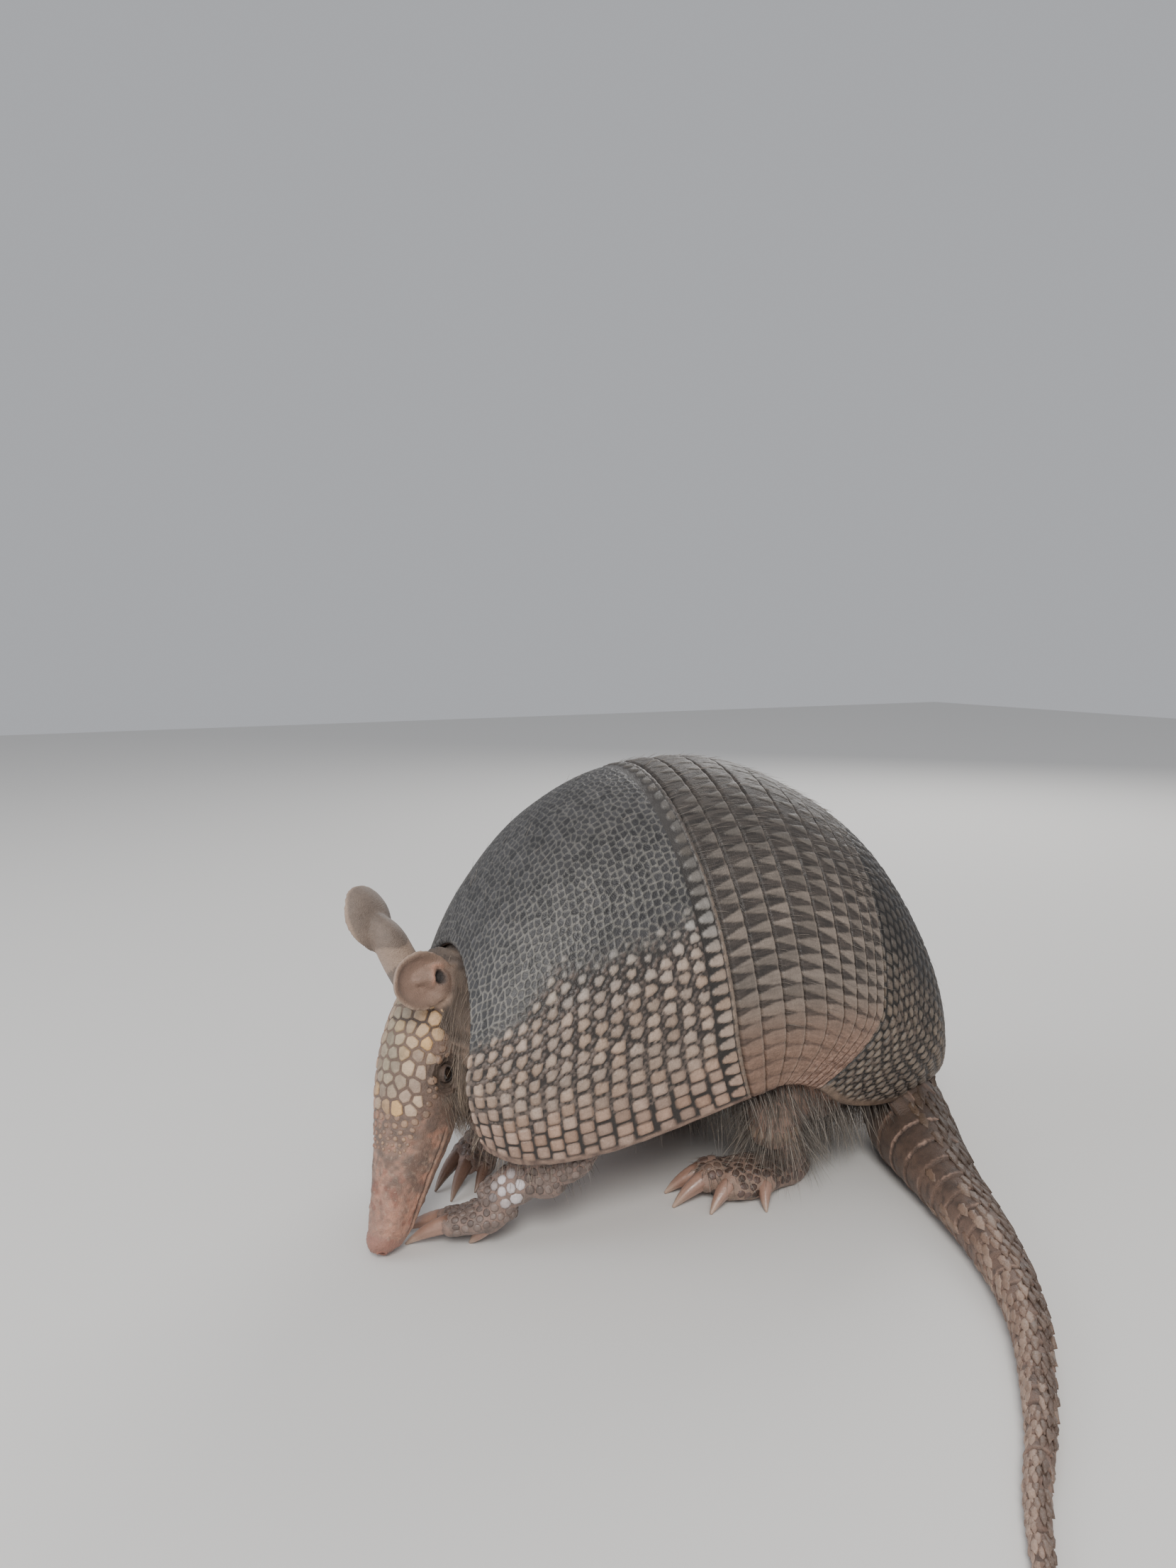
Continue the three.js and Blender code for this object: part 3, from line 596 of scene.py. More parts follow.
def band_piece(number, low, high):
    """A hoop of wedge-shaped scutes; its front runs under the plate before it, its rear rim stands proud."""
    length = high - low
    crest = shell_point(np.array([low, high]), np.zeros(2))
    mm = length / np.linalg.norm(crest[1] - crest[0])
    along = even_steps(low - 2.4 * mm, high, 0.5)
    around, share = even_lanes(along, 0.62)
    along = np.broadcast_to(along[:, None], around.shape)
    side, t = np.abs(around), (along - low) / length
    run = travelled(shell_point(along, around), 0)
    rear = run[-1:] - run

    cells = round(girth_at((low + high) / 2) / BAND_PITCH)
    spot = share * cells + 0.10 * grain(share * cells * 0.7, number * 3.0, seed=40)
    which = np.floor(spot)
    lot, other = chance(which, number, 41), chance(which, number, 42)
    off = spot - which - 0.5 + 0.16 * (other - 0.5)
    streak = grain(spot * 13, t * 1.6, seed=60 + number)
    fine = grain(spot * 31, t * 3.1, seed=80 + number)
    down = ease(0.30, 0.78, side)
    start = (0.42 - 0.34 * ease(0.28, 0.62, side)) * (0.7 + 0.6 * lot) - 0.1 * ease(0.6, 0.8, side)
    u = np.clip((t - start) / (1 - start), 0, 1)
    wide = 0.035 + 0.03 * lot + 0.21 * ease(0.62, 0.92, side) + (0.29 + 0.07 * down + 0.04 * other) * u**0.85
    wide = np.minimum(wide, 0.455) + 0.02 * grain(spot * 9, t * 5, seed=43 + number)
    wedge = fall(-0.04, 0.04, np.abs(off) - wide) * ease(-0.05, 0.08, t - start)
    groove = bell(np.abs(off) - wide, 0.045) * ease(0.0, 0.1, t - start)
    top = fall(0.30, 0.62, side + 0.04 * streak)
    low_end = ease(0.80, 0.97, side + 0.02 * streak)
    fade = low_end * (0.45 + 0.55 * ease(3, 6, number))

    pale = mix("#685f57", "#80746a", lot) * (0.92 + 0.16 * streak)[..., None]
    pale = mix(pale, "#7e6657", ease(0.74, 0.94, side))
    pale = mix(pale, paint("#6a655f") * (0.85 + 0.3 * lot)[..., None], top * 0.8)
    dark = mix("#2b2623", "#453d38", np.clip(0.5 + 0.6 * streak + 0.3 * fine, 0, 1))
    dark = mix(dark, "#5b4a40", ease(0.72, 0.95, side) * 0.7)
    tint = mix(dark, pale, wedge * (1 - 0.30 * top))
    tint = mix(tint, mix("#282523", "#4f4b46", np.clip(0.5 + 0.6 * streak + 0.4 * fine, 0, 1)), top * 0.35)
    tint = mix(tint, "#231e1b", groove * 0.5 * (1 - fade))
    tint = mix(tint, mix("#5b453a", "#8a6e5f", np.clip(0.5 + 0.6 * fine + 0.3 * streak, 0, 1)), fade)
    rim_line = bell(rear - 0.8, 0.45)
    tint = mix(tint, "#8c7f73", rim_line * (0.45 - 0.3 * top) * (1 - fade))
    # the band's front, tucked under the plate before it, is darkened: a painted shadow of that plate's rear
    # rim
    tint = tint * (1 - 0.55 * ease(0.12, -0.04, t))[..., None]

    height = (0.30 * wedge * (1 - (np.abs(off) / 0.5) ** 2) - 0.22 * groove * (1 - fade)
              + 0.06 * streak + 0.04 * fine)
    height += fade * 0.28 * grain(along * 300, margin_of(side, along) * 0.8, seed=90 + number)
    front = fall(-0.02, 0.16, t)
    lift = -0.75 + 0.42 * np.clip(t, 0, 1) ** 1.3 + height - 1.5 * front
    lift -= 0.9 * (1 - np.sqrt(np.clip(1 - np.clip(1 - rear / 1.1, 0, 1) ** 2, 0, 1)))
    lift -= 1.2 * rounding(around.shape, 3, "rear") * (t > 0)
    name = f"band_{number}_plate"
    return shell_plate(name, along, around, lift, tint, PLATE * 0.75, band_horn)


shares = np.concatenate([[0], np.cumsum(BAND_WIDTHS)]) / sum(BAND_WIDTHS)
edges = BANDS_FROM + (BANDS_TO - BANDS_FROM) * shares
for i in range(len(BAND_WIDTHS)):
    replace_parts(band_piece(i + 1, edges[i], edges[i + 1]), f"band_{i + 1}")


# ---------------------------------------------------------------- the rump shield

rump_row, rump_place = row_scale(BANDS_TO, 1.0, RUMP_ROWS, RUMP_LANE)


def rump_piece():
    """The shield over the rump, its scutes dark on top and paler toward the lower rim."""
    along = even_steps(BANDS_TO, 1.0, 0.62)
    around, share = even_lanes(along, 0.68)
    along = np.broadcast_to(along[:, None], around.shape)
    side, rows = np.abs(around), rump_row(along)
    margin = margin_of(side, along)
    run = travelled(shell_point(along, around), 0)
    length = np.gradient(run, axis=0) / np.gradient(rows, axis=0)
    streak = grain(around * 95, along * 26, seed=141)
    fine = grain(around * 230, along * 70, seed=142)
    top = fall(0.34, 0.62, side + 0.05 * streak)
    low_end = ease(0.56, 0.84, side + 0.03 * streak)
    height, tint = np.zeros(along.shape), np.broadcast_to(paint("#1a1715"), along.shape + (3,)).copy()
    first_rows = fall(2.2, 3.2, rows)
    for step in (-1, 0, 1):
        row = np.round(rows) + step
        girth = girth_at(rump_place(row))
        for dv, number, size in row_seats(row, girth, RUMP_PITCH, 0.18, 150, share):
            lot, other = chance(row, number, 151), chance(row, number, 152)
            du = (rows - row - 0.14 * (other - 0.5)) * length
            reach = 0.375 + 0.03 * lot
            away = cell(du, dv, np.minimum(length, 6.6) * (reach + 0.05 * first_rows), size * (reach + 0.03),
                        2.2 + 2.6 * first_rows)
            away = away * (1 + (uneven(du, dv, lot, other) - 1) * (1 - first_rows))
            dome = (0.55 + 0.36 * low_end) * (0.82 + 0.3 * lot) * fall(0.58, 1.03, away)
            dome = dome * (1 - 0.22 * away**2)
            face = mix("#403b37", "#504942", lot)
            face = mix(face, mix("#574c43", "#74675a", other), low_end)
            face = mix(face, mix("#2a2725", "#413d39", np.clip(0.5 + 0.6 * streak, 0, 1)), top * 0.7)
            # each scute lighter toward its middle: wear on its top plus a painted highlight
            face = face * (0.82 + 0.3 * fall(0.1, 0.9, away) + 0.08 * streak)[..., None]
            height, tint = overlay(height, tint, dome, face, fall(0.80, 1.0, away))
        for ahead in (-0.36, 0.36):
            for dv, number, _ in row_seats(row, girth, RUMP_PITCH, 0.18, 150, share, 0.5):
                lot = chance(row, number, 154 + int(ahead > 0))
                away = cell((rows - row - ahead) * length, dv, 1.0 + 0.35 * lot, 0.95 + 0.35 * lot, 2.2)
                dome = 0.36 * low_end * (1 - first_rows) * fall(0.35, 1.05, away)
                dull = mix("#342d28", "#544840", lot)
                height, tint = overlay(height, tint, dome, dull, fall(0.6, 1.0, away), 0.02)
    height += 0.05 * streak + 0.03 * fine
    rim = fall(1.2, 2.6, np.minimum(margin, (1 - along) * 140))
    height = height * (1 - rim) + rim * (0.35 + 0.15 * streak)
    tint = mix(tint, mix("#54453a", "#7a6758", 0.5 + 0.5 * fine), rim * 0.8)
    lift = height - 0.95 - 1.6 * rounding(around.shape, 3, None)
    lift -= 1.0 * fall(0, 1.6, run)
    return shell_plate("rump_shield", along, around, lift, tint, PLATE * 0.75, rump_horn)


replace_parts(rump_piece(), "pelvic_shield")


# ---------------------------------------------------------------- the forms under the skin
HEAD_PART, EAR_PART, NECK_PART, TRUNK_PART, FORE_PART, HIND_PART, TAIL_PART = range(7)
BELLY_DEPTH = [7, 10, 13, 20, 24, 25, 19, 12, 4]
# middle x y z, half width, half height
NECK = [
    [-108, 0, 83, 48, 46], [-127, -3, 88, 41, 45], [-139, -4, 90, 31, 37], [-147, -5, 90, 19, 25],
]
EAR_LENGTH, EAR_WIDTH, EAR_CUP, EAR_WALL, EAR_STALK = 33, 24, 7, 2.3, 7
EARS = {
    "left": dict(root=[-139, -13, 98], centre=[-156, -26, 115],
                 up=[-0.93, -0.3, 0.1], open=[-0.2, -0.95, 0.2]),
    "right": dict(root=[-147, 14, 100], centre=[-165, 25, 131],
                  up=[-0.42, 0.1, 0.9], open=[-0.55, 0.8, 0.2]),
}
# x y z, half width, half height
FORELEG = dict(
    limb=[[-106, -46, 66, 19, 19], [-103, -52, 50, 17, 17], [-104, -55, 41, 12.5, 12.5],
          [-114, -52, 34.5, 10, 10], [-126, -47, 27, 8.5, 8.5], [-134, -42, 20, 8, 8]],
    palm=[[-128, -45, 18, 7, 6], [-134, -42, 14, 9.5, 6.5], [-140, -38, 12, 10.5, 6], [-146, -35, 10, 8, 5]],
    toes=[dict(knuckle=[-139, -29, 8], nail=[-143, -24, 6], tip=[-151, -16, 0.4], radius=4),
          dict(knuckle=[-145, -33, 10.5], nail=[-151, -27, 8.5], tip=[-164, -13, 0.4], radius=5),
          dict(knuckle=[-145, -39, 11.5], nail=[-152, -35, 9.5], tip=[-167, -25.5, 0.4], radius=5.2),
          dict(knuckle=[-135, -46, 14], nail=[-137, -44, 10], tip=[-142.5, -37, 0.3], radius=4.8)])
HINDLEG = dict(
    limb=[[52, -38, 60, 26, 26], [32, -45, 50, 24, 24], [11, -53, 45, 18, 18],
          [2, -59, 36, 12.5, 12.5], [8, -58, 24, 9.5, 9.5], [13, -56, 14, 8.5, 8.5]],
    palm=[[24, -51, 6.5, 5, 6], [16, -53, 6.6, 8, 8], [2, -54, 7.8, 10.5, 9], [-14, -53, 7.4, 15, 8.4],
          [-25, -51, 7.6, 13.5, 7]],
    toes=[dict(knuckle=[-16, -39, 7], nail=[-19, -37, 6], tip=[-29, -30, 0.3], radius=4.6),
          dict(knuckle=[-26, -44, 10], nail=[-31, -42.5, 8.5], tip=[-45, -38, 0.3], radius=5.6),
          dict(knuckle=[-28, -51.5, 10.5], nail=[-33, -51.5, 9], tip=[-49, -51.5, 0.3], radius=6),
          dict(knuckle=[-21, -59, 10], nail=[-25, -60.5, 8.5], tip=[-37.5, -65, 0.3], radius=5.6),
          dict(knuckle=[-6, -64, 9], nail=[-8.5, -66.5, 7.5], tip=[-14, -75, 0.3], radius=4.6)])


def mirrored(leg, plane, step):
    """A leg on the other side of a plane, a step farther back."""
    flip = lambda row: [row[0] + step, 2 * plane - row[1], *row[2:]]
    return dict(limb=[flip(row) for row in leg["limb"]], palm=[flip(row) for row in leg["palm"]],
                toes=[dict(knuckle=flip(toe["knuckle"]), nail=flip(toe["nail"]), tip=flip(toe["tip"]),
                           radius=toe["radius"]) for toe in leg["toes"]])


LEGS = {"foreleg_left": FORELEG, "foreleg_right": mirrored(FORELEG, -6, 28),
        "hindleg_left": HINDLEG, "hindleg_right": mirrored(HINDLEG, -5, 11)}
# x y z, radius
TAIL = [
    [104, -20, 38, 17], [91, -44, 25.5, 19.5], [78, -67, 19.6, 20], [67, -91, 16.4, 16.8],
    [57, -116, 12.7, 13.1], [44, -147, 10.2, 10.6], [29, -176, 8, 8.4], [11, -201, 6.4, 6.8],
    [-9, -222, 5.2, 5.5], [-30, -242, 4.2, 4.5], [-51, -259, 3.4, 3.7], [-72, -280, 2.5, 2.8],
    [-94, -308, 1.4, 1.7],
]


def course(sections, spacing):
    """Chain sections read smoothly every few millimetres, with the way and the two cross axes at each."""
    sections = np.asarray(sections, float)
    run = travelled(sections[:, :3], 0)
    at = np.linspace(0, run[-1], max(3, round(run[-1] / spacing) + 1))
    read = smooth_table(np.column_stack([run, sections]), at)
    way = unit(np.gradient(read[:, :3], axis=0))
    across = np.cross([0, 0, 1.0], way)
    across = np.where(np.linalg.norm(across, axis=1, keepdims=True) < 0.2, [0, 1.0, 0], across)
    across = unit(across - way * np.sum(across * way, axis=1, keepdims=True))
    return at, read, way, across, np.cross(way, across)


def tube(sections, sides=28, spacing=2.0, swell=0.0, round_end=True):
    """Rings of a chain, its ends rounded off."""
    _, read, way, across, rise = course(sections, spacing)
    angle = np.linspace(0, 2 * np.pi, sides, endpoint=False)[None, :, None]
    half, high = (read[:, 3] + swell)[:, None, None], (read[:, -1] + swell)[:, None, None]
    spokes = across[:, None] * half * np.cos(angle) + rise[:, None] * high * np.sin(angle)
    rings = read[:, None, :3] + spokes
    if round_end:
        caps = []
        for end, sign in ((0, -1), (-1, 1)):
            reach = 0.55 * min(read[end, 3], read[end, -1])
            caps.append([read[end, :3] + spokes[end] * math.cos(t) + sign * way[end] * reach * math.sin(t)
                         for t in (0.6, 1.1, 1.45)])
        rings = np.concatenate([np.array(caps[0])[::-1], rings, np.array(caps[1])])
    return rings


def closed(rings):
    """Points and faces of a loft whose two ends are closed."""
    rows, sides = rings.shape[:2]
    grid = np.arange(rows * sides).reshape(rows, sides)
    after = np.roll(grid, -1, axis=1)
    faces = np.stack([grid[:-1], after[:-1], after[1:], grid[1:]], -1).reshape(-1, 4).tolist()
    faces += [grid[0][::-1].tolist(), grid[-1].tolist()]
    return rings.reshape(-1, 3), faces


def trunk_rings():
    """Rings of the trunk: the shell's underside closed by a belly, and a rounded end under the rump."""
    places = [row[0] for row in SHELL]
    rings = []
    for along in np.linspace(0.04, 0.97, 48):
        back = shell_at(np.full(49, along), np.linspace(-1, 1, 49), np.full(49, -PLATE - 1.6))
        depth = smooth_table(np.column_stack([places, BELLY_DEPTH]), np.array([along]))[0, 0]
        angle = np.linspace(0, np.pi, 24)[1:-1, None]
        belly = back[-1] + (back[0] - back[-1]) * (1 - np.cos(angle)) / 2
        belly[:, 2] -= depth * np.sin(angle[:, 0]) ** 2
        rings.append(np.concatenate([back, belly]))
    last, middle = rings[-1], rings[-1].mean(0)
    way = unit(middle - rings[-4].mean(0))
    for size, out in ((0.96, 2.5), (0.85, 5), (0.6, 7.5)):
        rings.append(middle + (last - middle) * size + way * out)
    return np.array(rings)


def ear_axes(ear):
    """The ways to an ear's tip, out of its cup and across it."""
    stand = unit(ear["up"])
    face = unit(np.array(ear["open"]) - stand * np.dot(ear["open"], stand))
    return stand, face, np.cross(stand, face)


def ear_surface(ear, u, angle, inset):
    """A leaf-shaped cup, u from its heel (0) to its rim (1), angle from its tip."""
    stand, face, across = ear_axes(ear)
    u, angle = np.broadcast_arrays(u, angle)
    spread = np.sin(u * np.pi / 2)
    waist = 1 + 0.10 * np.cos(angle) - 0.05 * np.cos(2 * angle)
    curl = 0.9 * ease(0.8, 1.0, u) * (0.4 + 0.6 * np.sin(angle) ** 2)
    high = (EAR_LENGTH / 2 - inset) * spread * np.cos(angle)
    wide = (EAR_WIDTH / 2 - inset) * spread * np.sin(angle) * waist
    deep = -(EAR_CUP - inset) * np.cos(u * np.pi / 2) - curl + 0.35 * np.sin(angle * 5 + 1) * u**3
    offset = high[..., None] * stand + wide[..., None] * across + deep[..., None] * face
    return np.array(ear["centre"]) + offset


def ear_rings(ear):
    """Rings of an ear, up the back of its cup and down into it."""
    angle = np.linspace(0, 2 * np.pi, 56, endpoint=False)[None]
    back = ear_surface(ear, np.linspace(0.06, 1.0, 14)[:, None], angle, 0.0)
    front = ear_surface(ear, np.linspace(1.0, 0.06, 14)[:, None], angle, EAR_WALL)
    return np.concatenate([back, front])


def ear_stalk(ear):
    """The root of an ear, which tapers off up the back of its cup."""
    stand, face, _ = ear_axes(ear)
    heel = np.array(ear["centre"]) - 0.22 * EAR_LENGTH * stand - (0.62 * EAR_CUP + 2.2) * face
    root = np.array(ear["root"], float)
    line = [(root + (heel - root) * t, size) for t, size in ((0, 1.1), (0.5, 1.16), (1, 0.95))]
    line.append((heel + 0.30 * EAR_LENGTH * stand + 2.4 * face, 0.3))
    return tube([[*spot, EAR_STALK * size * 1.08, EAR_STALK * size] for spot, size in line],
                sides=24, spacing=1.5)


def tail_course():
    """Points, radii and distance run along the tail, every millimetre."""
    table = np.array(TAIL, float)
    run = travelled(table[:, :3], 0)
    at = np.arange(0, run[-1], 1.0)
    return at, smooth_table(np.column_stack([run, table]), at)


def neck_rings():
    """Rings of the neck, from inside the trunk to the back of the head."""
    table = np.array(NECK, float)
    at = np.linspace(0, 1, 16)
    read = smooth_table(np.column_stack([np.linspace(0, 1, len(table)), table]), at)
    angle = np.linspace(0, 2 * np.pi, 48, endpoint=False)
    ring = np.stack([0 * angle, np.cos(angle), np.sin(angle)], -1)
    return read[:, None, :3] + ring[None] * np.stack([read[:, 3] * 0, read[:, 3], read[:, 4]], -1)[:, None]


def toe_tube(toe):
    """The fleshy part of a toe, up to the root of its claw."""
    knuckle, nail = np.array(toe["knuckle"], float), np.array(toe["nail"], float)
    root = knuckle + (nail - knuckle) * -0.9
    size = toe["radius"]
    return tube([[*root, size * 0.9, size * 0.9], [*knuckle, size * 1.04, size * 1.04],
                 [*nail, size * 0.86, size * 0.86]], sides=20, spacing=0.8)


angles = np.linspace(0, 2 * np.pi, 96, endpoint=False)[None]
head_places = np.concatenate([np.linspace(-2.2, 4, 8), np.linspace(5, 118, 90)])[:, None]
forms = [(closed(head_point(head_places, angles)), HEAD_PART), (closed(neck_rings()), NECK_PART),
         (closed(trunk_rings()), TRUNK_PART)]
for ear in EARS.values():
    forms += [(closed(ear_rings(ear)), EAR_PART), (closed(ear_stalk(ear)), EAR_PART)]
for name, leg in LEGS.items():
    part = FORE_PART if "fore" in name else HIND_PART
    forms += [(closed(tube(leg["limb"])), part), (closed(tube(leg["palm"])), part)]
    knee = np.array(leg["limb"][3], float)
    forms.append((closed(tube([knee + [0, 0, lift, 0, 0] for lift in (-7, 0, 7)])), part))
    forms += [(closed(toe_tube(toe)), part) for toe in leg["toes"]]
tail_at, tail_table = tail_course()
forms.append((closed(tube(tail_table[::3], sides=32, spacing=2.0)), TAIL_PART))

points, faces, part_of, start = [], [], [], 0
for (spots_of_form, faces_of_form), part in forms:
    points.append(spots_of_form)
    faces += [[v + start for v in face] for face in faces_of_form]
    part_of += [part] * len(spots_of_form)
    start += len(spots_of_form)
mesh = bpy.data.meshes.new("skin")
mesh.from_pydata(placed(np.concatenate(points)).tolist(), [], faces)
mesh.attributes.new("part", "FLOAT", "POINT").data.foreach_set("value", np.array(part_of, np.float32))
skin = bpy.data.objects.new("skin", mesh)
bpy.context.scene.collection.objects.link(skin)


def spots_of(mesh):
    spots = np.empty(len(mesh.vertices) * 3, np.float32)
    mesh.vertices.foreach_get("co", spots)
    return (spots.reshape(-1, 3).astype(float) - STAND) / MM


def normals_of(mesh):
    normals = np.empty(len(mesh.vertices) * 3, np.float32)
    mesh.vertices.foreach_get("normal", normals)
    return normals.reshape(-1, 3).astype(float)


def move_to(mesh, spots):
    """Moves the points of a mesh to these spots, given in millimetres."""
    mesh.vertices.foreach_set("co", placed(spots).astype(np.float32).ravel())
    mesh.update()


only(skin)
skin.data.remesh_voxel_size = 1.1 * MM
skin.data.remesh_voxel_adaptivity = 0
skin.data.use_remesh_preserve_attributes = True
skin.data.use_remesh_fix_poles = False
bpy.ops.object.voxel_remesh()
soften = skin.modifiers.new("soften", "SMOOTH")
soften.factor, soften.iterations = 0.5, 5
bpy.ops.object.modifier_apply(modifier="soften")


# ---------------------------------------------------------------- the skin, fitted under the shell

def search_tree(table_spots):
    """A tree that finds the nearest of these spots."""
    tree = mathutils.kdtree.KDTree(len(table_spots))
    for i, spot in enumerate(table_spots):
        tree.insert(spot, i)
    tree.balance()
    return tree


def nearest_table(table_spots):
    """A function that gives, for each of many spots, the number of the nearest spot of the table."""
    tree = search_tree(table_spots)
    return lambda spots: np.array([tree.find(spot)[1] for spot in spots])


lengthwise, sideways = np.meshgrid(np.linspace(0, 1, 170), np.linspace(-1, 1, 240), indexing="ij")
lengthwise, sideways = lengthwise.ravel(), sideways.ravel()
shell_spots = shell_point(lengthwise, sideways)
shell_normals = shell_outward(lengthwise, sideways)
shell_nearest = nearest_table(shell_spots)


def under_shell(spots):
    """Each place's height over the shell's face, and how far it lies along and around the shell."""
    i = shell_nearest(spots)
    away = spots - shell_spots[i]
    height = np.sum(away * shell_normals[i], axis=1)
    beside = np.linalg.norm(away - height[:, None] * shell_normals[i], axis=1)
    return height, beside, lengthwise[i], sideways[i], shell_normals[i]


def part_at(mesh):
    """The part of the body that each point of the skin came from."""
    part = np.empty(len(mesh.vertices), np.float32)
    mesh.attributes["part"].data.foreach_get("value", part)
    return part


def tuck_in(spots, room, free):
    """Brings skin that stands a little over the shell's underside down to it, but not the free parts."""
    height, beside, along, around, normals = under_shell(spots)
    inside = (beside < 2.5) & (height > -room) & (height < 30) & ~free
    spots = spots - normals * np.where(inside, (height + room) * fall(2, 7, height), 0)[:, None]
    hidden = (beside < 2.5) & (height < 1) & (np.abs(around) < 0.88) & (along > 0.06) & (along < 0.92)
    return spots, hidden


mesh = skin.data
spots, hidden = tuck_in(spots_of(mesh), PLATE + UNDER_PLATE, part_at(mesh) < NECK_PART - 0.5)
move_to(mesh, spots)
group = skin.vertex_groups.new(name="hidden")
group.add(np.nonzero(hidden)[0].tolist(), 1.0, "REPLACE")
thin = skin.modifiers.new("thin", "DECIMATE")
thin.ratio = 1 - 0.93 * hidden.mean()
thin.vertex_group = "hidden"
bpy.ops.object.modifier_apply(modifier="thin")
skin.vertex_groups.clear()


def refine(piece, chosen):
    """Splits each face whose corners are all chosen into one four-sided face for each corner."""
    old = piece.data
    ends = np.empty(len(old.polygons), np.int64)
    old.polygons.foreach_get("loop_total", ends)
    corner = np.empty(len(old.loops), np.int32)
    old.loops.foreach_get("vertex_index", corner)
    corner = corner.astype(np.int64)
    starts = np.cumsum(ends) - ends
    split = np.add.reduceat(chosen[corner].astype(int), starts) == ends
    owner = np.repeat(np.arange(len(ends)), ends)
    after = np.arange(len(corner)) + 1
    last = np.cumsum(ends) - 1
    after[last] = starts
    before = np.empty_like(after)
    before[after] = np.arange(len(corner))
    total = len(old.vertices)
    key = np.minimum(corner, corner[after]) * total + np.maximum(corner, corner[after])
    halved = np.unique(key[split[owner]])
    spot = np.searchsorted(halved, key)
    found = (spot < len(halved)) & (halved[np.minimum(spot, len(halved) - 1)] == key)
    spot = np.where(found, spot + total, -1)
    centre = np.cumsum(split) - 1 + total + len(halved)
    spots = spots_of(old)
    part = part_at(old)
    ends_of = np.stack([halved // total, halved % total])
    middles = np.stack([np.bincount(owner, spots[corner, k], len(ends)) for k in range(3)], -1)
    middles = middles / ends[:, None]
    spots = np.concatenate([spots, spots[ends_of].mean(0), middles[split]])
    part = np.concatenate([part, part[ends_of[0]], part[corner[starts[split]]]])
    quads = np.stack([corner, spot, centre[owner], spot[before]], -1)[split[owner]]
    faces = quads.tolist()
    for start, count in zip(starts[~split].tolist(), ends[~split].tolist()):
        face = []
        for i in range(start, start + count):
            face.append(int(corner[i]))
            if spot[i] >= 0:
                face.append(int(spot[i]))
        faces.append(face)
    mesh = bpy.data.meshes.new("skin")
    mesh.from_pydata(placed(spots).tolist(), [], faces)
    mesh.attributes.new("part", "FLOAT", "POINT").data.foreach_set("value", part)
    piece.data = mesh
    return mesh


def head_place(spots):
    """Distance from the nose, side and rise of each place on the head, and its angle from the brow."""
    away = spots - NOSE
    near, side, rise = away @ head_axis, away @ head_side, away @ head_up
    half, up, down = np.moveaxis(smooth_table(HEAD, np.clip(near, -2, 117)), -1, 0)
    angle = np.degrees(np.arctan2(side / half, rise / np.where(rise > 0, up, down)))
    reach = np.hypot(side / half, rise / np.where(rise > 0, up, down))
    return near, side, rise, angle, reach


def eye_frame(side):
    """An eye's centre, and the ways out of the head, ahead and up at it."""
    middle = (head_point(EYE_FROM, math.pi) + head_point(EYE_FROM, 0.0)) / 2
    out = unit(head_point(EYE_FROM, side * math.radians(EYE_ANGLE)) - middle)
    ahead = unit(-head_axis + out * np.dot(head_axis, out))
    over = unit(head_up - out * np.dot(head_up, out) - ahead * np.dot(head_up, ahead))
    return eye_centre(side), out, ahead, over


spots = spots_of(mesh)
near, side, rise, angle, reach = head_place(spots)
open_face = (np.abs(angle) > 40) | (near < 56)  # the rest is covered by the head shield
mesh = refine(skin, (near > -4) & (near < 104) & (reach < 1.25) & open_face)
for radius in (11, 7):
    spots = spots_of(mesh)
    close = np.abs(head_place(spots)[0]) < 0.8 * radius
    for which in (-1, 1):
        close |= np.linalg.norm(spots - eye_centre(which), axis=1) < radius
    mesh = refine(skin, close)

spots = spots_of(mesh)
part = np.round(part_at(mesh)).astype(int)
edge = np.empty(len(mesh.edges) * 2, np.int32)
mesh.edges.foreach_get("vertices", edge)
edge = edge.reshape(-1, 2)
links = np.bincount(edge.ravel(), minlength=len(spots))[:, None]


def spread(values, times):
    """Averages values with their neighbours over the skin, again and again."""
    for _ in range(times):
        total = np.stack([np.bincount(edge[:, 0], values[edge[:, 1], k], len(values))
                          + np.bincount(edge[:, 1], values[edge[:, 0], k], len(values))
                          for k in range(values.shape[1])], -1)
        values = 0.5 * values + 0.5 * total / links
    return values


belongs = spread((part[:, None] == np.arange(7)).astype(float), 8)
is_head, is_ear, is_neck, is_trunk, is_fore, is_hind, is_tail = belongs.T
near, side, rise, angle, reach = head_place(spots)
turn = np.abs(angle)
x, y, z = spots.T
shift = np.zeros((len(spots), 3))
part_tints = ["#6e5a4e", "#75675d", "#5a4c41", "#8b6d5c", "#75655d", "#7a6558", "#5a473b"]
tint = sum(share[:, None] * paint(code) for share, code in zip(belongs.T, part_tints))
normals = normals_of(mesh)


def texture(size, seed):
    """Noise over the skin with lumps of this size."""
    return grain(x / size, y / size, z / size, seed)


blotch, pores = texture(9, 5), texture(1.1, 7)
tint = tint * (1 + 0.16 * blotch + 0.1 * pores)[:, None]


def raise_by(amount):
    """Lifts the skin along its normals, in millimetres."""
    global shift
    shift = shift + normals * np.asarray(amount)[:, None]


def stain_and_shade(colour, amount):
    """Blends a colour into the skin, used both for the skin's own colours and for painted shade; amount is
    its share at each point.
    """
    global tint
    tint = mix(tint, colour, np.clip(amount, 0, 1))


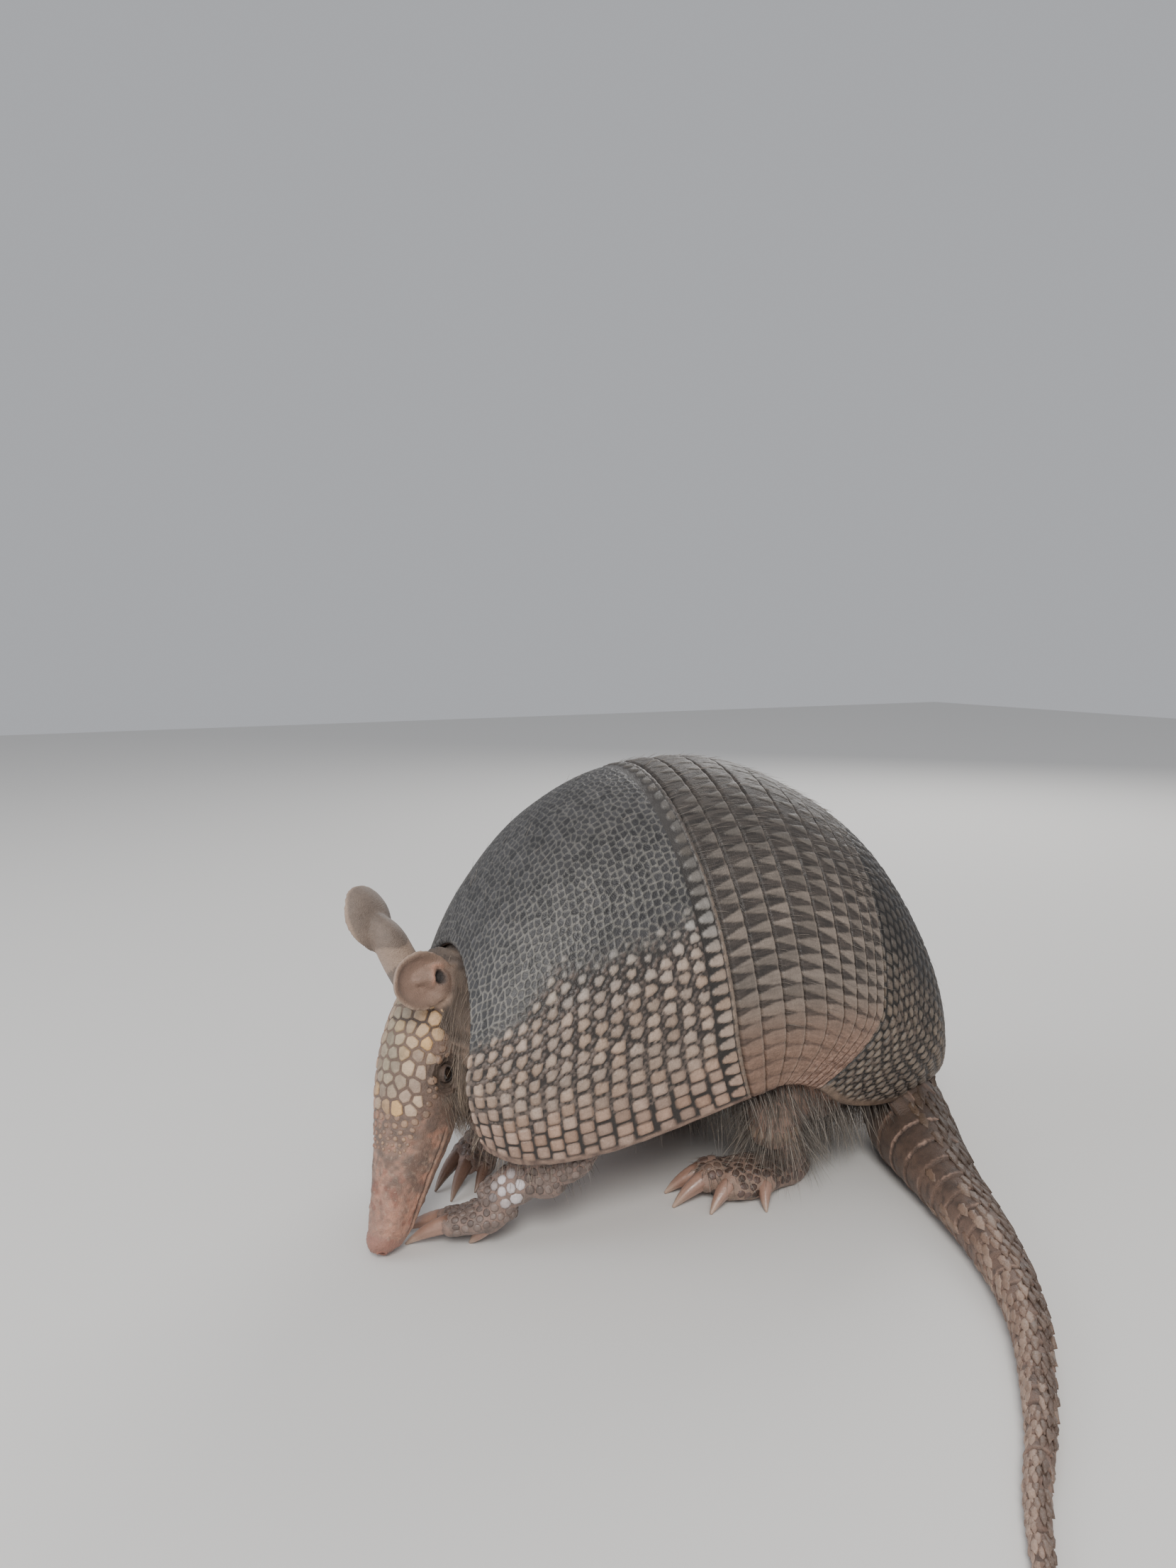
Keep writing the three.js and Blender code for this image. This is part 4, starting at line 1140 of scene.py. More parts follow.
# pebbled skin all over the head, wrinkles across the snout and down the cheek
snout = is_head * fall(46, 66, near + 3 * blotch)
pebble = texture(0.8, 9) * 0.10 + texture(1.7, 10) * 0.14
raise_by(is_head * pebble * 1.15)
ridges = 1 - 2 * np.abs(grain(near / 2.3 + 0.6 * blotch, turn / 55, 0, 12))
raise_by(is_head * 0.07 * ridges * ease(8, 14, near) * fall(44, 54, near))
patches = texture(4.5, 41) + 0.6 * texture(2.0, 42)
stain_and_shade("#977565", snout * 0.85)
stain_and_shade("#a47c6b", snout * fall(20, 40, near) * 0.6)
stain_and_shade("#806a5d", snout * ease(20, 40, near) * 0.7)
stain_and_shade("#5f5149", snout * ease(6, 30, near) * ease(-0.15, 0.5, patches) * 0.75)
stain_and_shade("#b5836c", snout * ease(0.05, 0.6, -patches) * 0.55)
stain_and_shade("#7d4c3e", snout * ease(0.05, 0.5, texture(3, 43)) * fall(22, 38, near) * 0.6)
stain_and_shade("#6a584d", snout * ease(0.1, 0.5, texture(1.6, 44)) * 0.45)
stain_and_shade("#b9a08c", snout * ease(0.35, 0.8, pores) * 0.35)
raise_by(snout * 0.26 * patches * ease(4, 12, near))
stain_and_shade("#7c5a4b", snout * 0.22 * ease(0.1, 0.7, ridges))
bridge = is_head * ease(42, 54, near + 4 * blotch) * fall(58, 74, near) * (turn < 95)
stain_and_shade("#584a42", bridge * (0.5 + 0.4 * pores))
cheek = is_head * ease(52, 64, near) * ease(84, 100, turn)
creases = 1 - 2 * np.abs(grain((near + 0.25 * turn) / 2.1, turn / 24, 0, 14))
raise_by(cheek * 0.34 * creases)
stain_and_shade("#57493f", cheek * 0.75)
stain_and_shade("#8d7768", cheek * 0.6 * ease(0.2, 0.8, creases))

# the lips: a fine groove from the nose to below the eye, painted dark in the groove as shade, with a pale
# edge under it
mouth = np.interp(near, [0, 2, 4, 8, 14, 30, 54], [178, 165, 150, 134, 126, 119, 113])
low_by = np.radians(turn - mouth) * np.interp(near, [0, 10, 50], [6, 10, 18])
lips = is_head * ease(0.5, 3, near) * fall(46, 55, near)
raise_by(lips * (0.35 * bell(low_by + 1.3, 1.0) + 0.45 * bell(low_by - 1.6, 1.1) - 0.95 * bell(low_by, 0.5)))
# the groove between the lips is painted near black: painted shade
stain_and_shade("#2d201c", lips * bell(low_by, 0.42) * 0.9)
stain_and_shade("#c39c84", lips * bell(low_by - 2.1, 1.1) * 0.75)
stain_and_shade("#b58d78", is_head * ease(3, 9, low_by) * 0.6)

# the nose pad and its two nostrils
pad = is_head * fall(3.2, 5.6, near)
raise_by(pad * 0.15 * ease(0.5, 0.8, reach))
raise_by(is_head * -0.16 * bell(near - 6.2, 1.4))
stain_and_shade("#93695b", pad * 0.9)
for which in (-1, 1):
    beside = side - which * 2.7
    hole = np.hypot(beside / 1.25, (rise + 0.6 - 0.25 * which * beside) / 1.65)
    deep = pad * (near < 2.6) * fall(0.55, 1.05, hole)
    shift += deep[:, None] * head_axis * 3.2
    raise_by(pad * 0.28 * bell(hole - 1.35, 0.25))
    # each nostril's hole is painted near black: painted shade in the hole
    stain_and_shade("#1c1210", pad * (near < 3) * fall(0.7, 1.1, hole))
    stain_and_shade("#8d4f3f", pad * bell(hole - 1.3, 0.3) * 0.5)

# eye sockets, brows and lids
for which in (-1, 1):
    centre, out, ahead, over = eye_frame(which)
    away = spots - centre
    fore, up, lift = away @ ahead, away @ over, away @ out
    r = np.hypot(fore, up)
    around_eye = (lift > -4) * (r < 16) * np.clip(is_head * 1.5, 0, 1)
    wobble = grain(fore / 2.2, up / 2.2, which, 17)
    wrinkles = np.cos(2 * np.pi * (r / 1.75 + 0.28 * wobble))
    pouch = up + 6.6 - 0.06 * fore**2
    swell = -0.95 * bell(r - 4.9, 1.9)
    swell += 0.30 * wrinkles * bell(r - 6.6, 2.4)
    swell += 1.25 * bell(up - 6.6 + 0.05 * fore**2, 1.5) * bell(fore, 7.5)
    swell += 0.85 * bell(pouch, 1.1) * bell(fore, 6.0)
    raise_by(around_eye * swell)
    stain_and_shade("#453930", around_eye * fall(5.5, 11.0, r + wobble) * 0.85)
    stain_and_shade("#7b675a", around_eye * bell(pouch, 0.9) * bell(fore, 6.0) * 0.8)
    # darker in the troughs between the wrinkles: painted shade
    stain_and_shade("#4a3d35", around_eye * ease(0.1, 0.6, -wrinkles) * (r < 10) * 0.5)
    almond = np.sqrt((fore / 2.75) ** 2 + ((up + 0.12 * fore) / 2.05) ** 2)
    ball = np.sqrt(np.clip((EYE_RADIUS + 0.5) ** 2 - r**2, 0, None))
    lid = around_eye * fall(1.35, 2.1, almond)
    lid_lift = np.where(almond < 1, ball - 1.9, ball + 0.18 * bell(almond - 1.12, 0.12))
    moved = (lid_lift - lift) * lid
    shift = shift * (1 - lid)[:, None] + out * moved[:, None]
    stain_and_shade("#1f1815", around_eye * fall(1.02, 1.2, almond))
    stain_and_shade("#5d4a40", around_eye * bell(almond - 1.3, 0.1) * 0.7)

# folds round the throat and neck
fold = is_head * ease(86, 92, near) + is_neck
waves = 1 - 2 * np.abs(grain((near + 0.04 * turn) / 4.2, turn / 60, 0, 19))
raise_by(fold * 1.15 * waves * ease(30, 60, turn))
stain_and_shade("#55483d", fold * 0.6)
stain_and_shade("#8d7767", fold * ease(0.4, 0.95, waves) * 0.55)
# darker in the troughs of the folds: painted shade
stain_and_shade("#352a24", fold * fall(-0.4, 0.3, waves) * 0.6)

# ears: pebbled cups with a few ribs, a fold darkened with painted shade and a canal at the heel painted near
# black as shade
for ear in EARS.values():
    stand, face, across = ear_axes(ear)
    away = spots - np.array(ear["centre"])
    up, wide = away @ stand, away @ across
    mine = is_ear * (np.linalg.norm(away, axis=1) < 26)
    inner = mine * ease(-0.1, 0.5, normals @ face)
    rim = np.hypot(up / (EAR_LENGTH / 2), wide / (EAR_WIDTH / 2))
    ribs = 0.12 * np.cos(np.arctan2(wide, up + 12) * 16) * fall(0.6, 0.9, rim) * inner
    raise_by(mine * (0.10 * pebble * 3 + ribs))
    stain_and_shade("#94796a", inner * 0.85 * fall(0.6, 1.0, rim))
    stain_and_shade("#8f7463", inner * ease(0.6, 0.95, rim) * 0.6)
    stain_and_shade("#b39a88", mine * ease(0.93, 1.0, rim) * 0.6)
    shaded_lobe = np.hypot((up + 12.6) / 4.4, (wide + 1.2) / 6.0)
    raise_by(inner * 0.9 * fall(0.3, 1.0, shaded_lobe))
    # the lobe beside the canal is darkened: painted shade
    stain_and_shade("#57463c", inner * fall(0.6, 1.25, shaded_lobe) * 0.7)
    canal = np.hypot((up + 8.0) / 2.5, (wide - 0.6) / 3.4)
    shift -= (face * 3.0 - stand * 0.5) * (inner * fall(0.4, 1.0, canal))[:, None]
    # the canal is painted near black: painted shade in the hole
    stain_and_shade("#1d1411", inner * fall(0.75, 1.15, canal))
    tragus = bell(canal - 1.5, 0.28) * ease(-0.2, 0.7, ((up + 8.0) + 0.8 * (wide - 0.6)) / 4.5)
    raise_by(inner * 1.2 * tragus)
    stain_and_shade("#b58873", inner * tragus * 0.85)

# legs, belly and tail
legs = np.clip(is_fore + is_hind, 0, 1)
crumple = 1 - 2 * np.abs(grain(x / 4.2 + 0.3 * blotch, y / 6, z / 3.2, 23))
raise_by(legs * (0.34 * crumple + pebble) + is_trunk * 0.5 * crumple)
stain_and_shade("#8f7a6c", is_hind * fall(26, 36, z) * 0.55)
stain_and_shade("#a08072", (legs + is_trunk) * ease(0.3, 0.9, crumple) * 0.4)
# darker in the troughs of the crumpled skin: painted shade
stain_and_shade("#3e322c", (legs + is_trunk) * ease(0.1, -0.6, crumple) * 0.35)
tail_index = nearest_table(tail_table[:, :3])(spots)
tail_run = tail_at[tail_index]
TAIL_RING = [[0, 13], [90, 12.5], [170, 9.5], [300, 6.5], [400, 5]]


def tail_rings():
    """Where each bony ring of the tail starts."""
    starts, at = [], 4.0
    while at < tail_at[-1]:
        starts.append(at)
        at += float(smooth_table(TAIL_RING, at)[0])
    return np.array(starts)


rings = tail_rings()
ring_of = np.clip(np.searchsorted(rings, tail_run) - 1, 0, len(rings) - 2)
ring_share = np.clip((tail_run - rings[ring_of]) / (rings[ring_of + 1] - rings[ring_of]), 0, 1)
ring_rise = 0.5 * ring_share**2 - 0.55 * bell(ring_share, 0.1)
raise_by(is_tail * ring_rise * (1 - ease(300, 380, tail_run) * 0.6))
strands = texture(3.1, 33) + 0.6 * texture(1.3, 34)
stain_and_shade("#8f7263", is_tail * ease(60, 240, tail_run) * 0.85)
stain_and_shade("#3b2f28", is_tail * ease(0.0, 0.9, strands) * 0.6)
stain_and_shade("#332a25", is_tail * ease(0.1, 0.8, normals[:, 2] + 0.3 * strands) * 0.45)
ring_edge = is_tail * bell(ring_share - 0.93, 0.05) * (0.55 + 0.9 * strands)
stain_and_shade("#94796a", ring_edge * (1 - ease(150, 240, tail_run) * 0.6))
stain_and_shade("#2b211c", is_tail * fall(0.02, 0.12, ring_share) * 0.6)

spots = spots + shift
spots, _ = tuck_in(spots, PLATE + UNDER_PLATE, part < NECK_PART)
spots[:, 2] = np.maximum(spots[:, 2], 0)
move_to(mesh, spots)
tinted(mesh, tint)
mesh.attributes.remove(mesh.attributes["part"])
smoothed(mesh)
mesh.materials.append(horn("living skin", 0.16, 0.6, 0.6, sheen=0.08, tight=1.2))
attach(skin, "root")
flesh = ["head", "neck", "trunk", "ear_left", "ear_right", "tail_base", "tail_middle", "tail_tip", *LEGS]
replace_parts(skin, *flesh)


# ---------------------------------------------------------------- the head shield
SHIELD_FROM, SHIELD_TO, SHIELD_SPREAD = 50, 110, 72
SHIELD_ROW, SHIELD_LANE = 5.6, 6.1


def shield_share(near):
    """How far back over the shield each place lies, 0 to 1, and how wide the shield is there."""
    u = (near - SHIELD_FROM) / (SHIELD_TO - SHIELD_FROM)
    return u, 1 - 0.14 * (1 - u) - 0.3 * np.clip(u, 0, 1) ** 8


def head_shield_piece():
    """Raised horny scales over the brow, scalloped where the outermost ones end."""
    rows, lanes_across = 1 + BACK_STEP * 21, 1 + BACK_STEP * 22
    near = np.linspace(SHIELD_FROM - 3.5, SHIELD_TO + 3.0, rows)[:, None]
    _, taper = shield_share(near)
    v = np.linspace(-1.06, 1.06, lanes_across)[None]
    angle = np.radians(v * (SHIELD_SPREAD * taper + 2))
    near = near + 0 * v
    base = head_point(near, angle)
    arc = travelled(base, 1)
    arc = arc - arc[:, lanes_across // 2][:, None]
    first = np.full(near.shape, 9e9)
    second, lot, seat_near, seat_arc = first.copy(), 0 * first, 0 * first, 0 * first
    for step in (-1, 0, 1):
        row = np.round((near - SHIELD_FROM) / SHIELD_ROW) + step
        for offset in (-1, 0, 1):
            stagger = np.where(row % 2 == 0, 0.0, 0.5)
            number = np.round(arc / SHIELD_LANE - stagger) + offset
            at_near = SHIELD_FROM + SHIELD_ROW * (row + 0.42 * (chance(row, number, 201) - 0.5))
            at_arc = SHIELD_LANE * (number + stagger + 0.42 * (chance(row, number, 202) - 0.5))
            away = np.hypot(near - at_near, arc - at_arc)
            closer = away < first
            second = np.where(closer, first, np.minimum(second, away))
            lot = np.where(closer, chance(row, number, 203), lot)
            seat_near = np.where(closer, at_near, seat_near)
            seat_arc = np.where(closer, at_arc, seat_arc)
            first = np.where(closer, away, first)
    gap = second - first
    seat_u, seat_taper = shield_share(seat_near)
    half_width = smooth_table(HEAD, np.clip(seat_near, 0, 117))[..., 0]
    half_arc = np.radians(SHIELD_SPREAD * seat_taper) * half_width * 1.02
    inside = (np.abs(seat_arc) < half_arc - 1.2) & (seat_u > 0.02) & (seat_u < 0.985)
    groove = fall(0.35, 1.6, gap)
    wear = grain(near / 1.6, arc / 1.6, seed=205)
    lift = 0.45 - 0.85 * groove + 0.22 * fall(0, 3.2, first) + 0.07 * wear + 0.20 * (lot - 0.5)
    edge_round = np.where(inside, 0.0, 1.0)
    for _ in range(2):
        edge_round = (edge_round + np.roll(edge_round, 1, 0) + np.roll(edge_round, -1, 0)
                      + np.roll(edge_round, 1, 1) + np.roll(edge_round, -1, 1)) / 5
    lift = lift * (1 - edge_round) - 2.0 * edge_round
    across = arc / 22.0  # -1 on the left edge, 1 on the right
    tint = mix("#9d8676", "#bfa58a", lot)
    amber = chance(np.round(seat_near * 3), np.round(seat_arc * 3), 206)
    bright = chance(np.round(seat_near * 5), np.round(seat_arc * 5), 207)
    tint = mix(tint, "#c69a5e", ease(0.72, 0.95, amber) * 0.7)
    tint = mix(tint, "#a67c6a", ease(0.0, 0.75, across) * 0.8)
    tint = mix(tint, "#8d8873", bell(across + 0.05, 0.42) * ease(56, 70, near) * 0.6)
    tint = mix(tint, "#8f8f8c", bell(across + 0.5, 0.4) * ease(96, 106, near) * 0.7)
    tint = mix(tint, "#cda36c", bell(across + 0.85, 0.35) * ease(74, 90, near) * 0.6)
    tint = tint * (0.78 + 0.34 * bright + 0.14 * wear)[..., None]
    tint = mix(tint, "#3f3027", groove * 0.92)
    tint = mix(tint, "#4c3c33", ease(0.2, 0.8, edge_round))
    outward = unit(np.cross(np.gradient(base, axis=1), np.gradient(base, axis=0)))
    outward *= np.sign(np.sum(outward * (base - NOSE - near[..., None] * head_axis), -1, keepdims=True))
    outer = (base + outward * lift[..., None])[::-1]
    inner = (base - outward * 2.4)[::-BACK_STEP, ::BACK_STEP]
    return plate_piece("brow_shield", outer, inner, tint[::-1], crown_horn)


crown_horn = horn("crown horn", 0.16, 0.45, 0.5, coat=0.05)
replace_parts(head_shield_piece(), "head_shield")


# ---------------------------------------------------------------- eyes and claws

def wet_black():
    material = bpy.data.materials.new("wet eye")
    material.use_nodes = True
    tree = material.node_tree
    shader = tree.nodes["Principled BSDF"]
    place = tree.nodes.new("ShaderNodeTexCoord").outputs["Object"]
    cloud = node(tree, "ShaderNodeTexNoise", Vector=place, Scale=700.0, Detail=2.0)
    ramp = node(tree, "ShaderNodeMix", {"data_type": "RGBA"}, i0=cloud.outputs["Fac"],
                i6=(0.006, 0.004, 0.003, 1), i7=(0.022, 0.012, 0.008, 1))
    tree.links.new(ramp.outputs[2], shader.inputs["Base Color"])
    shader.inputs["Roughness"].default_value = 0.12
    shader.inputs["Coat Weight"].default_value = 1.0
    shader.inputs["Coat Roughness"].default_value = 0.03
    return material


eye_black = wet_black()
for which, name in ((-1, "left"), (1, "right")):
    centre, out, _, _ = eye_frame(which)
    bpy.ops.object.select_all(action="DESELECT")
    bpy.ops.mesh.primitive_uv_sphere_add(segments=48, ring_count=32, radius=EYE_RADIUS * MM)
    ball = bpy.context.object
    ball.name = f"eyeball_{name}"
    ball.rotation_euler = Vector(out).to_track_quat("Z", "Y").to_euler()
    ball.location = placed(centre)
    bpy.ops.object.transform_apply(location=True, rotation=True, scale=True)
    bpy.ops.object.shade_smooth()
    ball.data.materials.append(eye_black)
    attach(ball, "root")
    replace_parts(ball, f"eye_{name}")


CLAW_STEPS, CLAW_SIDES = 22, 24


def claw_piece(name, toe):
    """A curved horn, flat beneath and ridged above, worn at its tip."""
    knuckle, nail, tip = (np.array(toe[key], float) for key in ("knuckle", "nail", "tip"))
    way = unit(nail - knuckle)
    root = nail - way * 2.4
    bend = nail + way * 0.45 * np.linalg.norm(tip - nail)
    t = np.linspace(0, 1, CLAW_STEPS)[:, None]
    line = (1 - t) ** 2 * root + 2 * t * (1 - t) * bend + t**2 * tip
    forward = unit(np.gradient(line, axis=0))
    across = unit(np.cross([0, 0, 1.0], forward))
    rise = np.cross(forward, across)
    size = toe["radius"] * (0.92 - 0.80 * t**1.6)
    angle = np.linspace(0, 2 * np.pi, CLAW_SIDES, endpoint=False)[None]
    profile = np.where(np.sin(angle) > 0, 1.0, 0.72) * (1 + 0.03 * np.cos(angle * 8))
    ring = 1 + 0.025 * np.sin(t * 46) * (1 - t)
    wide, high = size * profile * ring * np.cos(angle) * 0.86, size * profile * ring * np.sin(angle)
    rings = line[:, None] + across[:, None] * wide[..., None] + rise[:, None] * high[..., None]
    rings[..., 2] = np.maximum(rings[..., 2], 0.02)
    spots, faces = closed(rings[:, ::-1])
    mesh = bpy.data.meshes.new(name)
    mesh.from_pydata(placed(spots).tolist(), [], faces)
    share = np.repeat(t[:, 0], CLAW_SIDES)
    streak = grain(np.tile(angle[0] * 3, CLAW_STEPS), share * 3, sum(toe["nail"]), 230)
    tint = mix("#6d5447", "#9b7b6c", ease(0.0, 0.22, share))
    tint = mix(tint, "#b39c8a", ease(0.55, 1.0, share) * 0.8) * (1 + 0.12 * streak)[:, None]
    tint = mix(tint, "#5e463a", fall(0.0, 0.1, share) * 0.6)
    # the right forepaw's claws are darkened: painted shade
    if name.startswith("foreclaw_right"):
        tint = mix(tint, "#4e3d33", 0.6)
    tinted(mesh, tint)
    smoothed(mesh)
    return linked(name, mesh, claw_horn)


claw_horn = horn("claw horn", 0.1, 0.2, 0.36, coat=0.25)
for name, leg in LEGS.items():
    fore, which = name.split("_")
    for i, toe in enumerate(leg["toes"], 1):
        base = f"{fore.replace('leg', 'claw')}_{which}_{i}"
        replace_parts(claw_piece(base + "_horn", toe), base)


# ---------------------------------------------------------------- the coat: scales and hair over the skin
normals = normals_of(mesh)
skin_nearest = nearest_table(spots)
covered = under_shell(spots)
under_plates = (covered[1] < 2.5) & (covered[0] < 1) & (np.abs(covered[3]) < 0.985) & (covered[2] > 0.01)
front_end, rear_end = spots[:, 0].min(), spots[:, 0].max()
COAT_PATCH = 0.0014  # the size of a small shape's faces on the unrolled skin


def unrolled(roots):
    """Where each root lies when the skin is unrolled about the body's long axis."""
    around = np.arctan2(roots[:, 1] + 10, roots[:, 2] - 60) / (2 * np.pi) + 0.5
    back = 0.98 * (roots[:, 0] - front_end) / (rear_end - front_end)
    return np.stack([0.01 + back, 0.01 + 0.98 * around], -1)


def tapered(rings, sides):
    """Faces of a small closed shape: rings of corners one after another, and a last corner on top."""
    faces = [[at + i, at + (i + 1) % sides, at + sides + (i + 1) % sides, at + sides + i]
             for at in range(0, (rings - 1) * sides, sides) for i in range(sides)]
    top = (rings - 1) * sides
    faces += [[top + i, top + (i + 1) % sides, top + sides] for i in range(sides)]
    return [*faces, list(range(sides))[::-1]]


def coat_piece(name, groups, material):
    """Joins groups of small closed shapes, each with its points, faces, roots and tints, into one piece."""
    points, faces, tints, spots_on_map, start = [], [], [], [], 0
    for shapes, pattern, roots, tint in groups:
        count, corners = shapes.shape[:2]
        first = start + corners * np.arange(count)
        points.append(shapes.reshape(-1, 3))
        for face in pattern:
            faces += (first[:, None] + np.array(face)).tolist()
            turn = np.array(face) * 2.4
            patch = COAT_PATCH * np.stack([np.cos(turn), np.sin(turn)], -1)
            spots_on_map.append((unrolled(roots)[:, None] + patch[None]).reshape(-1, 2))
        tints.append(tint.reshape(-1, 3))
        start += count * corners
    mesh = bpy.data.meshes.new(name)
    mesh.from_pydata(placed(np.concatenate(points)).tolist(), [], faces)
    mapped(mesh, spots_on_map)
    tinted(mesh, np.concatenate(tints))
    smoothed(mesh)
    return linked(name, mesh, material)


def scattered(chosen, spacing, seed):
    """Skin points at least their own spacing apart, taken in a shuffled order."""
    index = np.nonzero(chosen)[0]
    index = index[np.argsort(chance(index, seed))]
    step = float(spacing[index].max())
    boxes, kept = {}, []
    for i, key in zip(index.tolist(), np.floor(spots[index] / step).astype(int).tolist()):
        near = [j for a in (-1, 0, 1) for b in (-1, 0, 1) for c in (-1, 0, 1)
                for j in boxes.get((key[0] + a, key[1] + b, key[2] + c), ())]
        if near and np.min(np.sum((spots[near] - spots[i]) ** 2, 1)) < spacing[i] ** 2:
            continue
        boxes.setdefault(tuple(key), []).append(i)
        kept.append(i)
    return np.array(kept)


def settled(seats, ground, times=3):
    """Moves each seat to the middle of the skin that is nearest to it, so that the scales pack evenly."""
    seats = spots[seats]
    for _ in range(times):
        owner = nearest_table(seats)(ground)
        size = np.bincount(owner, minlength=len(seats))[:, None]
        middle = np.stack([np.bincount(owner, ground[:, k], len(seats)) for k in range(3)], -1)
        seats = np.where(size > 0, middle / np.maximum(size, 1), seats)
    return skin_nearest(seats)


SCALE_SIDES = 8
SCALE_FACES = tapered(3, SCALE_SIDES)
scale_angles = np.arange(SCALE_SIDES) * 2 * np.pi / SCALE_SIDES


def seat_axes(seats, ahead):
    """Where each seat lies on the skin, and the ways out of the skin, ahead along it and aside."""
    place, out = spots[seats], normals[seats]
    ahead = unit(ahead - out * np.sum(ahead * out, 1, keepdims=True))
    return place, out, ahead, np.cross(out, ahead)


def scale_groups(seats, ahead, reach, height, tilt, tint, edge):
    """Low domed scales on the skin: reach is each one's radius in eight directions, the first ahead."""
    place, out, ahead, aside = seat_axes(seats, ahead)
    angle = scale_angles
    spoke = ahead[:, None] * np.cos(angle)[None, :, None] + aside[:, None] * np.sin(angle)[None, :, None]
    rings = []
    for share, lift in ((1.0, -0.45), (0.94, 0.45), (0.58, 1.0)):
        flat = place[:, None] + spoke * (reach * share)[..., None]
        near = skin_nearest(flat.reshape(-1, 3)).reshape(flat.shape[:2])
        facing = np.maximum(np.sum(normals[near] * out[:, None], -1), 0.4)
        drop = np.clip(np.sum((spots[near] - flat) * normals[near], -1) / facing, -0.4 * reach, 0.4 * reach)
        rise = drop + (lift * height if lift > 0 else lift * np.ones_like(height))[:, None]
        rise = rise + (tilt[:, None] * np.clip(np.cos(angle), 0, 1)[None] * share if lift > 0 else 0)
        rings.append(flat + out[:, None] * rise[..., None])
    top = place + out * (height * 1.08 + 0.15 * tilt)[:, None]
    shapes = np.concatenate([*rings, top[:, None]], 1)
    tints = np.stack([tint * edge] * SCALE_SIDES + [tint * (0.5 + 0.5 * edge)] * SCALE_SIDES
                     + [tint] * SCALE_SIDES + [tint * 1.06], 1)
    return shapes, SCALE_FACES, place, tints


def packed_reach(seats, ahead, size, gap, widest):
    """How far each scale may spread in eight directions before it meets its neighbours."""
    place, _, ahead, aside = seat_axes(seats, ahead)
    tree = search_tree(place)
    reach = np.full((len(seats), SCALE_SIDES), 1.0) * (widest * size)[:, None]
    for i in range(len(seats)):
        near = [j for _, j, _ in tree.find_n(place[i], 9) if j != i]
        away = place[near] - place[i]
        u, v = away @ ahead[i], away @ aside[i]
        far = np.hypot(u, v) / 2 - gap / 2
        facing = np.cos(scale_angles[:, None] - np.arctan2(v, u)[None])
        clear = np.where(facing > 0.2, far[None] / np.maximum(facing, 0.2), 99)
        reach[i] = np.minimum(reach[i], clear.min(1))
    soft = 0.6 * reach + 0.2 * np.roll(reach, 1, 1) + 0.2 * np.roll(reach, -1, 1)
    return np.clip(soft, 0.5, None)


# ---------------------------------------------------------------- scales of the legs
x_now, _, z_now = spots.T
# scales point down the leg and out along the foot
down_limb = unit(mix(np.array([0, 0, -1.0]), np.array([-1.0, 0, -0.25]), fall(12, 26, z_now)))
sole = (normals[:, 2] < -0.35) | (z_now < 2.0)
toes_clear = np.ones(len(spots), bool)
for leg in LEGS.values():
    for toe in leg["toes"]:
        toes_clear &= np.linalg.norm(spots - np.array(toe["nail"], float), axis=1) > toe["radius"] * 1.15

hind_scaled = (is_hind > 0.6) & ~sole & toes_clear & (z_now < 34)
fore_scaled = (is_fore > 0.6) & ~sole & toes_clear & (z_now < 56) & ~under_plates
ankle = ease(14, 22, z_now) * (is_hind > 0.5)
shin = 0 * z_now
for spot in ((-131, -53, 29), (-103, 41, 29)):
    shin = np.maximum(shin, 1.25 * bell(np.linalg.norm(spots - np.array(spot, float), axis=1), 9))
shin = np.clip(shin, 0, 1) * (is_fore > 0.5)
scale_size = np.where(is_hind > is_fore, 4.1 + 1.4 * ankle, 3.2 + 2.0 * shin)
leg_groups = []
# where, seed, gap between scales, share of the tint left at their edges, height
for chosen, seed, gap, rim, rise in ((hind_scaled, 301, 0.6, 0.92, 0.45),
                                     (fore_scaled, 302, 0.5, 0.76, 0.8)):
    seats = settled(scattered(chosen, scale_size * 0.86, seed), spots[chosen])
    size = scale_size[seats]
    lot, other = chance(seats, seed + 5), chance(seats, seed + 6)
    reach = packed_reach(seats, down_limb[seats], size, gap, 0.7)
    hind_tint = mix(mix("#463832", "#64514a", lot), mix("#83705f", "#a08b78", other),
                    ankle[seats] * (0.5 + 0.5 * lot))
    fore_tint = mix(mix("#5f524c", "#7d6d65", lot), mix("#a89d9a", "#d3caca", other),
                    ease(0.45, 0.85, shin[seats]))
    leg_tint = hind_tint if chosen is hind_scaled else fore_tint
    leg_tint = leg_tint * (0.9 + 0.2 * lot)[:, None]
    height, tilt = rise * (0.22 + 0.07 * size), 0.07 * rise * size
    leg_groups.append(scale_groups(seats, down_limb[seats], reach, height, tilt, leg_tint, rim))
leg_horn = horn("leg scales", 0.14, 0.35, 0.42, coat=0.1)
coat_piece("leg_scales", leg_groups, leg_horn)


# ---------------------------------------------------------------- small scales before the head shield
near_now, _, _, angle_now, _ = head_place(spots)
turn_now = np.abs(angle_now)
narrowing = 0.9 * (50 - near_now).clip(0)
before_shield = (is_head > 0.7) & (near_now > 38) & (near_now < 53) & (turn_now < 66 - narrowing)
beside_shield = (is_head > 0.7) & (near_now > 54) & (near_now < 92) & (turn_now > 66) & (turn_now < 80)
eye_away = np.min([np.linalg.norm(spots - eye_centre(which), axis=1) for which in (-1, 1)], axis=0)
chosen = before_shield | (beside_shield & (eye_away > 7.5))
snout_size = 2.3 + 2.0 * ease(40, 50, near_now)
seats = settled(scattered(chosen, snout_size * 0.9, 311), spots[chosen])
lot, other = chance(seats, 312), chance(seats, 313)
down_snout = np.broadcast_to(-head_axis, (len(seats), 3))
reach = packed_reach(seats, down_snout, snout_size[seats], 0.55, 0.62)
